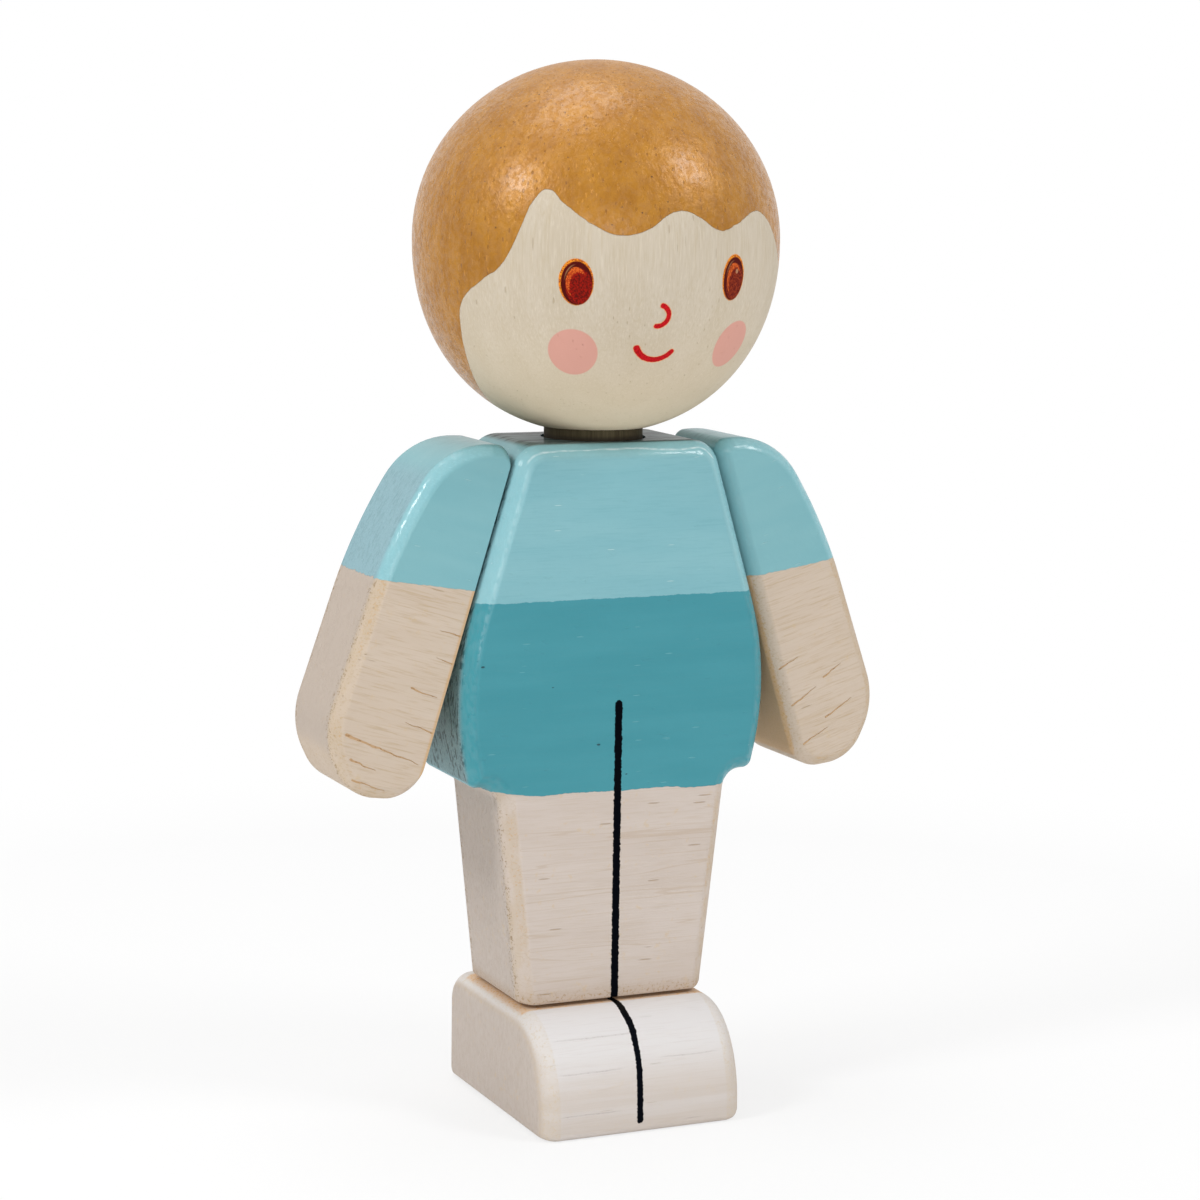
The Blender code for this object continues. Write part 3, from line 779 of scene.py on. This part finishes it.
# The head. A turned hardwood ball with upright grain, a little blunter below, bored for the
# neck. It is sprayed cream, the hair is painted over it in satin brown with a cut stencil, and
# eyes, nose, mouth and cheeks are printed on.
HEAD_CROWN = 16.9 * MM
HEAD_CHIN_BLUNTNESS = 2.14
HEAD_BORE_RADIUS = neck_radius + SEAT
HEAD_RIM_ROUND = 0.35 * MM
HEAD_TURNED_STEPS = 144
HEAD_HALF_STEPS = 44
FACE_MIDDLE_HEIGHT = 83.1
FACE_RADIUS = 17.5
HAIR_SPECULAR = 0.3
HAIR_SHEEN = 0.16
HAIR_GLOSS_ROUGHNESS = 0.26

_, head_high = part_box("head")
head_radius = head_high.x
equator = head_high.z - HEAD_CROWN
chin = equator - (body_high.z + HEAD_ABOVE_BODY)
power = 2 / HEAD_CHIN_BLUNTNESS


def chin_height(radius):
    """Height of the ball's lower half at a distance from its axis."""
    share = 1 - (radius / head_radius) ** HEAD_CHIN_BLUNTNESS
    return equator - chin * share ** (1 / HEAD_CHIN_BLUNTNESS)


bore_top = neck_high.z + SEAT
rim = HEAD_BORE_RADIUS + HEAD_RIM_ROUND
rim_height = chin_height(rim)
rim_break = HEAD_RIM_ROUND * 0.3
head_profile = [
    (0.0, bore_top),
    (HEAD_BORE_RADIUS, bore_top),
    (HEAD_BORE_RADIUS, rim_height + HEAD_RIM_ROUND),
    (HEAD_BORE_RADIUS + rim_break, rim_height + rim_break),
]
lowest_angle = acos((rim / head_radius) ** (1 / power))
for step in range(HEAD_HALF_STEPS):
    angle = lowest_angle * (1 - step / HEAD_HALF_STEPS)
    radius = head_radius * cos(angle) ** power
    head_profile.append((radius, equator - chin * sin(angle) ** power))
for step in range(HEAD_HALF_STEPS):
    angle = pi / 2 * step / HEAD_HALF_STEPS
    head_profile.append((head_radius * cos(angle), equator + HEAD_CROWN * sin(angle)))
head_profile.append((0.0, head_high.z))
head = turned_piece(head_profile, "turned_head", HEAD_TURNED_STEPS)

head_finish = Finish("painted_face_and_hair", HAIR_SPECULAR)
f = head_finish
high = f.z - FACE_MIDDLE_HEIGHT
from_axis = (f.x * f.x + f.y * f.y) ** 0.5
azimuth = f.x.math("ARCTAN2", f.x, 0.0 - f.y)
elevation = f.x.math("ARCTAN2", high, from_axis)
fibres, bands, lines, dashes, dots = wood_figure(f, 2, 21.0)

# The hairline's points are degrees round the ball from its front, and degrees up.
HAIRLINE = [
    (-110, -62), (-97, -56), (-85, -45), (-79, -36), (-75, -26), (-71, -16), (-61, -8.4),
    (-54.6, -4.6), (-50, 1.5), (-47, 8), (-43, 16.5), (-39.5, 19), (-34, 15), (-25.4, 9.1),
    (-17, 5.8), (-8.6, 7.5), (-0.6, 12.4), (3.5, 13), (9, 11), (16, 7.3), (24.6, 9.4),
    (34.2, 12.8), (41, 10.8), (48.4, 4.3), (54, -1), (62, -7), (69, -12), (74, -22),
    (79, -36), (86, -47), (97, -56), (110, -62),
]
HAIR_REACH = 110
curve = [((a + HAIR_REACH) / (2 * HAIR_REACH), (e + 90) / 180) for a, e in HAIRLINE]
share = (azimuth * (180 / pi) + HAIR_REACH) / (2 * HAIR_REACH)
hairline = f.node("FloatCurve", {"curve": curve}, {1: share}) * 180 - 90
ragged = (f.cloud(f.place, 1.2, 3.0) - 0.5) * 0.9
hair = f.rise(elevation * (180 / pi) - hairline + ragged, -0.15, 0.15)

skin = f.mix(bands, (203, 191, 172), (198, 185, 164))
fine = f.cloud(f.stretched((1.0, 1.0, 0.06), 3.0), 7.0, 3.0, 0.65)
skin = f.mix(f.rise(fine, 0.5, 0.66) * 0.35, skin, (188, 172, 140))
skin = f.mix(f.rise(fine, 0.48, 0.32) * 0.35, skin, (222, 212, 194))
# The lower face is painted lighter and warmer: painted light, bounced up onto it from below.
skin = f.mix(f.rise(elevation, -0.2, -1.0) * 0.6, skin, (216, 198, 168))
skin = f.mix(lines * 0.2, skin, (190, 172, 138))
skin = f.mix(dashes * 0.4, skin, (176, 152, 112))

mottle = f.rise(f.cloud(f.stretched((1.0, 1.0, 0.5), 2.0), 0.6, 4.0, 0.6), 0.3, 0.7)
brown = f.mix(mottle, (160, 105, 20), (177, 121, 32))
brown = f.mix(f.rise(fibres, 0.5, 0.75) * 0.4, brown, (144, 88, 12))
# Light orange flecks on small relief marks: a painted highlight, the glint on their lit sides.
flecks_with_painted_glint = f.scattered(f.stretched((1.0, 1.0, 0.32), 12.0), 2.5, 0.3, 0.14, 0.55)
crowded = f.rise(f.cloud(f.place, 0.12, 1.0), 0.35, 0.55)
brown = f.mix(flecks_with_painted_glint * (0.08 + crowded * 0.22), brown, (220, 152, 56))
# Dark dents in the paint: real relief, painted darker as the shade in them.
dents = f.scattered(f.stretched((1.0, 1.0, 0.35), 40.0), 2.3, 0.26, 0.12, 0.5)
brown = f.mix(dents * (0.3 + crowded * 0.25), brown, (128, 78, 20))
pinholes = f.scattered(f.place, 0.7, 0.07, 0.05, 0.6)
brown = f.mix(pinholes * 0.7, brown, (84, 52, 24))
on_top = f.rise(f.facing_z, 0.8, 0.97)
brown = f.mix(dots * on_top * 0.3, brown, (116, 68, 24))


def on_ball(turned, raised, about):
    """Millimetres round and up on the ball, for prints near that elevation in degrees."""
    return turned * (FACE_RADIUS * cos(radians(about))), raised * FACE_RADIUS


def oval(middle, halves, shift=(0.0, 0.0), size=(1.0, 1.0)):
    """How far out a place is in an oval printed at (azimuth, elevation): 1 at its edge. An oval
    within it has its shift and its size as shares of the halves."""
    across, upwards = on_ball(azimuth, elevation, middle[1])
    middle_across, middle_up = on_ball(*map(radians, middle), middle[1])
    sideways = ((across - middle_across) / halves[0] - shift[0]) / size[0]
    upright = ((upwards - middle_up) / halves[1] - shift[1]) / size[1]
    return (sideways * sideways + upright * upright) ** 0.5


def stroke(about, centre, radius, middle_angle, half_angle):
    """How far a place is from a printed arc, ends included, and how far to the right of its centre."""
    across, upwards = on_ball(azimuth, elevation, about)
    right, over = across - centre[0], upwards - centre[1]
    cosine, sine = cos(middle_angle), sin(middle_angle)
    ahead = right * cosine + over * sine
    aside = abs(over * cosine - right * sine)
    on_arc = abs((ahead * ahead + aside * aside) ** 0.5 - radius)
    to_end = ahead - radius * cos(half_angle), aside - radius * sin(half_angle)
    on_end = (to_end[0] * to_end[0] + to_end[1] * to_end[1]) ** 0.5
    within = f.x.math("ARCTAN2", aside, ahead) < half_angle
    apart = on_end + within * (on_arc - on_end)
    return apart + (f.cloud(f.place, 4.0, 2.0) - 0.5) * 0.12, right


# Eyes and cheeks have their places in degrees round and up, and their sizes in millimetres.
EYES = ((-29.9, -8.1), (22.7, -6.9))
EYE_HALVES = ((1.61, 2.15), (1.46, 2.15))
IRISES = ((156, 26, 14), (148, 54, 24))
GLINTS = (0.0, 0.35)
CHEEKS = ((-31.6, -30.5), (30.0, -28.5))
CHEEK_HALVES = (2.26, 2.42)
MOUTH = {
    "about": -31, "centre": (-0.77, -8.05), "radius": 1.93,
    "middle_angle": radians(263), "half_angle": radians(62),
}
MOUTH_HALF_WIDTH = 0.275
NOSE = {
    "about": -18, "centre": (-1.13, -5.55), "radius": 1.0,
    "middle_angle": radians(-12), "half_angle": radians(84),
}
NOSE_HALF_WIDTH = 0.23

face = skin
for middle in CHEEKS:
    blush = f.rise(oval(middle, CHEEK_HALVES), 1.03, 0.97)
    face = f.mix(blush * 0.9, face, (213, 152, 138))
inked = 0.0
printed_dots = f.cloud(f.place, 6.5, 1.0)
dotted = f.rise(printed_dots, 0.46, 0.56)
for middle, halves, iris_red, glint_share in zip(EYES, EYE_HALVES, IRISES, GLINTS):
    out = oval(middle, halves) + (printed_dots - 0.5) * 0.06
    gold = f.mix(dotted * 0.75, (232, 150, 44), (150, 44, 22))
    eye = f.rise(out, 1.03, 0.97)
    face = f.mix(eye, face, gold)
    inked = eye.or_more(inked)
    dark = oval(middle, halves, (0.03, -0.05), (0.9, 0.925)) + (printed_dots - 0.5) * 0.12
    face = f.mix(f.rise(dark, 1.03, 0.97), face, (85, 15, 12))
    iris = oval(middle, halves, (0.14, -0.18), (0.76, 0.78))
    iris_colour = f.mix(f.rise(printed_dots, 0.35, 0.65), iris_red, (100, 20, 14))
    face = f.mix(f.rise(iris, 1.04, 0.94), face, iris_colour)
    crescent = oval(middle, halves, (0.0, -0.02), (0.68, 0.76))
    hollow = oval(middle, halves, (0.17, -0.22), (0.55, 0.62)) + (printed_dots - 0.5) * 0.3
    bright = f.rise(crescent, 0.82, 0.94) * f.rise(crescent, 1.05, 0.97)
    spattered = f.rise(crescent, 0.9, 0.84) * f.rise(hollow, 0.98, 1.06) * (0.35 + dotted * 0.6)
    face = f.mix(spattered, face, (216, 104, 40))
    leftward = f.rise(oval(middle, halves, (0.4, -0.3)), 1.1, 1.32)
    face = f.mix(bright * leftward * 0.9, face, (240, 186, 132))
    glint = f.rise(oval(middle, halves, (0.27, 0.27), (0.12, 0.1)), 1.2, 0.8)
    face = f.mix(glint * glint_share, face, (236, 196, 150))
mouth, rightwards = stroke(**MOUTH)
nose, _ = stroke(**NOSE)
for beyond in (mouth + rightwards * 0.012 - MOUTH_HALF_WIDTH, nose - NOSE_HALF_WIDTH):
    face = f.mix(f.rise(beyond, 0.1, 0.04) * 0.6, face, (232, 150, 80))
    red = f.mix(dotted * 0.6, (204, 26, 34), (158, 14, 20))
    drawn = f.rise(beyond, 0.03, -0.03)
    face = f.mix(drawn, face, red)
    inked = drawn.or_more(inked)

f.give("Base Color", f.mix(hair, face, brown))
f.give("Roughness", 0.66 - hair * 0.3 + fibres * 0.06)
f.give("Metallic", (hair * HAIR_SHEEN).or_more(inked * 0.8))
wrinkles = f.cloud(f.stretched((1.0, 1.0, 0.8), 8.0), 1.9, 3.0, 0.55)
gloss = 0.12 + f.rise(wrinkles, 0.42, 0.58) * 0.5
f.give("Coat Weight", hair * gloss * (1 - on_top * 0.7))
f.give("Coat Roughness", HAIR_GLOSS_ROUGHNESS)
f.give("Coat IOR", GLOSS_IOR)
relief = hair * 0.3 + wrinkles * (0.1 + hair * 0.95) - dashes * 0.4 + flecks_with_painted_glint * hair * 0.3
f.bump(relief - dents * hair * 0.4 - pinholes * hair * 0.5 - dots * on_top * 0.2, 0.1)
head_finish.wear(head)
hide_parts("head")
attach(head, "head")


# The arms. Two flat pieces of a thinner board, sawn with the grain across, their edges rounded
# off, and set flat against the body's slanted sides. The sleeves are gloss paint down to a
# slanting line, and below it the wood is wiped with thin white.
ARM_EDGE_ROUND = 1.2 * MM
ARM_GAP = 0.25 * MM
ARM_RISE = 6.7 * MM
ARM_REACH = 29.0 * MM
ARM_TOP_WIDTH = 6.9 * MM
ARM_TOP_SLOPE = 1.6 * MM
ARM_ELBOW_WIDTH = 9.85 * MM
ARM_ELBOW_BELOW_PIN = 5.3 * MM
HAND_WIDTH = 10.6 * MM
HAND_OUTER_RISE = 4.8 * MM
FINGERTIP_WIDTH = 6.4 * MM
HAND_INNER_RISE = 1.1 * MM
ARM_TOP_INNER_ROUND = 1.4 * MM
ARM_INNER_EDGE_LATE = {"right": 1.15 * MM, "left": 0.0}
ARM_TOP_OUTER_ROUND = 9.5 * MM
ARM_ELBOW_ROUND = 60.0 * MM
HAND_OUTER_ROUND = 7.5 * MM
FINGERTIP_ROUND = 4.5 * MM
HAND_INNER_ROUND = 3.2 * MM
PIN_IN_ARM = 4.6 * MM
ARM_BUSH_WALL = 1.2 * MM
ARM_BORE_RADIUS = PIN_RADIUS + SEAT + ARM_BUSH_WALL + SEAT
SLEEVE_HEM = -7.35
SLEEVE_SLOPE = -0.135

arm_low, arm_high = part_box("left_arm")
arm_thickness = arm_high.y - arm_low.y
arm_half = arm_thickness / 2 / MM
arm_board = (arm_half, ARM_EDGE_ROUND / MM)


def arm_corners(hand):
    """The arm's outline. The right arm's inner edges were left crisper than the left one's."""
    return [
        (FINGERTIP_WIDTH, -ARM_REACH, FINGERTIP_ROUND),
        (HAND_WIDTH, -ARM_REACH + HAND_OUTER_RISE, HAND_OUTER_ROUND),
        (ARM_ELBOW_WIDTH, -ARM_ELBOW_BELOW_PIN, ARM_ELBOW_ROUND),
        (ARM_TOP_WIDTH, ARM_RISE - ARM_TOP_SLOPE, ARM_TOP_OUTER_ROUND),
        (ARM_GAP, ARM_RISE, ARM_TOP_INNER_ROUND, ARM_INNER_EDGE_LATE[hand]),
        (ARM_GAP, -ARM_REACH + HAND_INNER_RISE, HAND_INNER_ROUND),
    ]


# A torn fibre on an arm's front is its start and its end, as millimetres out and up from the
# shoulder, and half its width.
SPLITS = {
    "right": (
        ((8.75, -23.25), (1.0, -24.38), 0.15),
        ((3.79, -17.68), (1.02, -17.9), 0.1),
        ((7.69, -25.4), (4.97, -25.94), 0.12),
        ((6.83, -27.22), (3.45, -27.53), 0.1),
        ((0.5, -11.9), (2.6, -11.7), 0.08),
        ((0.5, -14.5), (2.2, -14.3), 0.07),
        ((0.5, -21.2), (3.4, -20.9), 0.08),
    ),
    "left": (
        ((1.2, -21.2), (4.2, -20.3), 0.1),
        ((5.2, -19.6), (7.4, -18.9), 0.09),
        ((4.4, -23.6), (7.6, -22.7), 0.11),
        ((1.4, -25.4), (4.4, -24.6), 0.09),
        ((0.9, -17.2), (3.1, -16.7), 0.08),
    ),
}
SMEARS = {"right": 0.6, "left": 0.0}


def split_along(f, start, end, half_width):
    """A torn fibre on the arm's front, from one (out, up) to another: 1 in its middle."""
    run = Vector(end) - Vector(start)
    towards = run.normalized()
    out, over = abs(f.x) - start[0], f.z - start[1]
    ahead = out * towards.x + over * towards.y
    wander = (f.cloud(f.place, 0.7, 2.0) - 0.5) * 0.5
    aside = abs(over * towards.x - out * towards.y + wander)
    along = ahead.or_more(0.0).or_less(run.length)
    beyond = abs(ahead - along)
    apart = (aside + beyond) / (half_width * (1.3 - along / run.length))
    return f.rise(apart, 1.0, 0.2) * (f.y < 0.0)


def arm_finish(hand, side, seed):
    """Gloss sleeve above, whitewashed wood below, with a few splits near the hand."""
    shoulder = (side * shoulder_aside, 0.0, shoulder_height)
    f = Finish(f"gloss_sleeve_on_{hand}_arm", WOOD_SPECULAR, shoulder, side * SIDE_SLANT)
    from_gap = abs(f.x) - ARM_GAP / MM
    end_grain = f.rise(abs(f.facing_x), 0.8, 0.97) * (from_gap > 0.5)
    long_grain = 1 - end_grain
    outer = f.rise(from_gap, 1.8, 2.2)
    edge_band = along_edge(f, abs(f.y), arm_board, 0.0, 1.0)
    arris = along_edge(f, abs(f.y), arm_board, 0.9, 0.99) * f.rise(abs(f.facing_y), 0.985, 0.95)
    figure = wood_figure(f, 0, seed)
    fibres, bands, lines, dashes, dots = figure
    bare = whitewashed(f, figure, end_grain)
    bare = f.mix(0.4 * long_grain, bare, (203, 181, 150))
    # The sawn sides are painted greyer and darker than the front: painted shade of the sides.
    bare = f.mix(0.6 * end_grain, bare, (186, 171, 156))
    bare = f.mix(outer, bare, yellowed_edge(f, abs(f.y), arm_board, bare))
    edge_rub_and_highlight = f.rise(from_gap, 0.7, 0.3) * edge_band
    bare = f.mix(edge_rub_and_highlight * specks(f) * 0.6, bare, (186, 146, 82))
    smear = edge_rub_and_highlight * f.rise(f.z, SLEEVE_HEM - 5.0, SLEEVE_HEM - 3.0)
    bare = f.mix(smear * SMEARS[hand], bare, (120, 166, 164))
    raw_edge = f.rise(from_gap, 0.42, 0.2) * long_grain
    bare = f.mix(raw_edge * 0.5, bare, (206, 158, 92))
    bare = f.mix(f.rise(fibres, 0.5, 0.7) * long_grain * 0.35, bare, (178, 152, 116))
    distance = f.nearest(f.stretched((0.12, 0.2, 1.0), seed + 4.0), 0.6)
    scratches = f.rise(distance + fibres * 0.05, 0.07, 0.035) * long_grain
    bare = f.mix(scratches * 0.45, bare, (178, 136, 80))
    splits = 0.0
    for start, end, half_width in SPLITS[hand]:
        splits = split_along(f, start, end, half_width).or_more(splits)
    bare = f.mix(f.rise(splits, 0.0, 0.5) * 0.55, bare, (198, 148, 82))
    bare = f.mix(f.rise(splits, 0.5, 0.95) * (0.15 + specks(f) * 0.5), bare, (128, 90, 50))
    hem = SLEEVE_HEM + abs(f.x) * SLEEVE_SLOPE
    ragged = (f.cloud(f.place, 1.6, 4.0) - 0.5) * (0.3 + end_grain * 0.4)
    sleeve = f.rise(f.z - hem + ragged, -0.04, 0.04)
    streaks = f.rise(fibres, 0.45, 0.75)
    blue = f.mix(bands, (128, 181, 188), (122, 177, 185))
    blue = f.mix(edge_band * outer * (0.35 + streaks * 0.3), blue, (156, 206, 214))
    blue = f.mix(arris * outer * 0.3, blue, (92, 150, 158))
    grain_holes = end_grain_holes(f, seed + 7.0)
    thirsty = f.mix(f.rise(fibres, 0.35, 0.65), (146, 180, 189), (134, 168, 177))
    thirsty = f.mix(grain_holes * 0.2, thirsty, (92, 124, 130))
    blue = f.mix(end_grain * 0.85, blue, thirsty)
    # Faces turned up are painted darker teal, with grain holes in it: painted shade on the sleeve
    # tops.
    upward = f.rise(f.facing_z, 0.75, 0.97)
    blue = f.mix(upward * (0.3 + grain_holes * 0.3), blue, (84, 134, 138))
    dents_and_painted_glints = paint_ticks(f, seed + 9.0) * long_grain
    # The dents are painted lighter than the sleeve: a painted highlight, the glint that they catch.
    blue = f.mix(dents_and_painted_glints * 0.4, blue, (168, 212, 216))
    f.give("Base Color", f.mix(sleeve, bare, blue))
    broken = f.rise(f.cloud(f.stretched((1.0, 1.0, 0.4), seed), 3.6, 3.0, 0.6), 0.4, 0.6)
    gloss = sleeve * (1 - end_grain * 0.6)
    gloss_on_wood(f, sleeve, fibres, gloss, edge_band, broken)
    relief = sleeve * 0.3 + fibres * (0.5 - sleeve * 0.35) - dashes * long_grain * (1 - sleeve)
    relief = relief - grain_holes * end_grain * 0.6 - dents_and_painted_glints * sleeve * 0.6 - splits * (1 - sleeve)
    f.bump(relief + brushed(f) * sleeve, 0.05)
    return f


for side, hand, seed in ((1, "left", 31.0), (-1, "right", 44.0)):
    arm = board_piece(
        lambda inset: rounded_outline(arm_corners(hand), inset),
        arm_thickness,
        ARM_EDGE_ROUND,
        WORN_EDGE_TURNS,
        lambda along, out, high: (side * along, out, high),
        f"wooden_{hand}_arm",
        seed,
    )
    lie = Matrix.Rotation(side * pi / 2, 4, "Y")
    bored(arm, [(ARM_BORE_RADIUS, -BORE_PROUD, PIN_IN_ARM + 2 * SEAT, lie)])
    leaning = Matrix.Rotation(-side * SIDE_SLANT, 4, "Y")
    arm.data.transform(Matrix.Translation((side * shoulder_aside, 0.0, shoulder_height)) @ leaning)
    arm_finish(hand, side, seed).wear(arm)
    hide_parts(f"{hand}_arm")
    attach(arm, f"{hand}_arm")


# The pieces inside. Nylon bushes snap round steel pins in the shoulders and round the neck in
# the head, and two bare dowels are glued between legs and foot block. Of all these only the pins
# show a little, in the gaps beside the arms.
nylon = Finish("moulded_nylon", 0.5)
flow = nylon.cloud(nylon.place, 0.7, 3.0)
nylon.give("Base Color", nylon.mix(flow, (232, 230, 222), (216, 212, 200)))
nylon.give("Roughness", 0.35 + flow * 0.15)
nylon.bump(nylon.cloud(nylon.place, 6.0, 2.0), 0.01)

steel = Finish("drawn_steel", 0.5)
draw_lines = steel.cloud(steel.stretched((0.3, 3.0, 0.6), 2.0), 4.0, 3.0)
steel.give("Base Color", steel.mix(draw_lines, (205, 205, 208), (172, 172, 176)))
steel.give("Roughness", 0.22 + draw_lines * 0.2)
steel.give("Metallic", 1.0)
steel.bump(draw_lines, 0.005)

dowel_wood = bare_dowel("bare_foot_dowel", 2, 52.0, foot_high.z / MM)
for names, inner in (
    (("head_bush", "left_shoulder_bush", "right_shoulder_bush"), nylon),
    (("left_shoulder_pin", "right_shoulder_pin"), steel),
    (("left_foot_dowel", "right_foot_dowel"), dowel_wood),
):
    for name in names:
        inner.wear(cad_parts[name])


# The table and the light. A white table runs out into a white room. Soft boxes stand to the
# doll's right, to its left in front, overhead and in front, and the room gives the rest.
TABLE_REACH = 3.0
TABLE_NEAR = 0.04
TABLE_FAR = 0.16
TABLE_GLOW = 0.72
ROOM_LIGHT = 0.42


def surroundings_shown(nodes):
    """1 on a ray that shows the surroundings: into the camera, off a gloss or through glass."""
    shown = 0.0
    for ray in ("Is Camera Ray", "Is Glossy Ray", "Is Transmission Ray"):
        shown = nodes.node("LightPath", output=ray).or_more(shown)
    return shown


bm = bmesh.new()
bmesh.ops.create_circle(bm, cap_ends=True, segments=96, radius=TABLE_REACH)
table_mesh = bpy.data.meshes.new("white_table")
bm.to_mesh(table_mesh)
bm.free()
table = bpy.data.objects.new("white_table", table_mesh)
bpy.context.collection.objects.link(table)
top = Finish("white_table_top", WOOD_SPECULAR)
top.give("Base Color", (243.45, 243.45, 243.45))
top.give("Roughness", 0.7)
far_off = top.rise((top.x * top.x + top.y * top.y) ** 0.5, TABLE_NEAR / MM, TABLE_FAR / MM)
white = surroundings_shown(top) * far_off.or_more(TABLE_GLOW)
lit = Value(top, top.shader.outputs["BSDF"])
glow = top.node("Emission")
surface = top.node("MixShader", None, {0: white, 1: lit, 2: glow})
top.feed(top.tree.nodes["Material Output"].inputs["Surface"], surface)
top.wear(table)

room = bpy.data.worlds.new("white_room")
bpy.context.scene.world = room
room.use_nodes = True
walls = Nodes(room.node_tree)
light = room.node_tree.nodes["Background"]
walls.feed(light.inputs["Color"], (255, 255, 255))
walls.feed(light.inputs["Strength"], surroundings_shown(walls) * (1 - ROOM_LIGHT) + ROOM_LIGHT)

# A lamp is its direction from the doll, its distance and size in metres, and its power.
LAMPS = (
    ("right_soft_box", (-0.797, -0.131, 0.589), 0.55, (0.12, 0.16), 1.05),
    ("left_soft_box", (0.5775, -0.48, 0.66), 0.6, (0.17, 0.17), 1.05),
    ("overhead_soft_box", (-0.091, 0.167, 0.982), 0.6, (0.46, 0.32), 1.3),
    ("front_soft_box", (-0.35, -0.93, 0.12), 0.7, (0.5, 0.25), 1.0),
)
aim = Vector((0.0, 0.0, 60.0 * MM))
for name, direction, distance, size, power in LAMPS:
    lamp = bpy.data.objects.new(name, bpy.data.lights.new(name, "AREA"))
    lamp.data.shape = "RECTANGLE"
    lamp.data.size, lamp.data.size_y = size
    lamp.data.energy = power
    away = Vector(direction).normalized()
    lamp.location = aim + away * distance
    lamp.rotation_euler = away.to_track_quat("Z", "Y").to_euler()
    bpy.context.collection.objects.link(lamp)
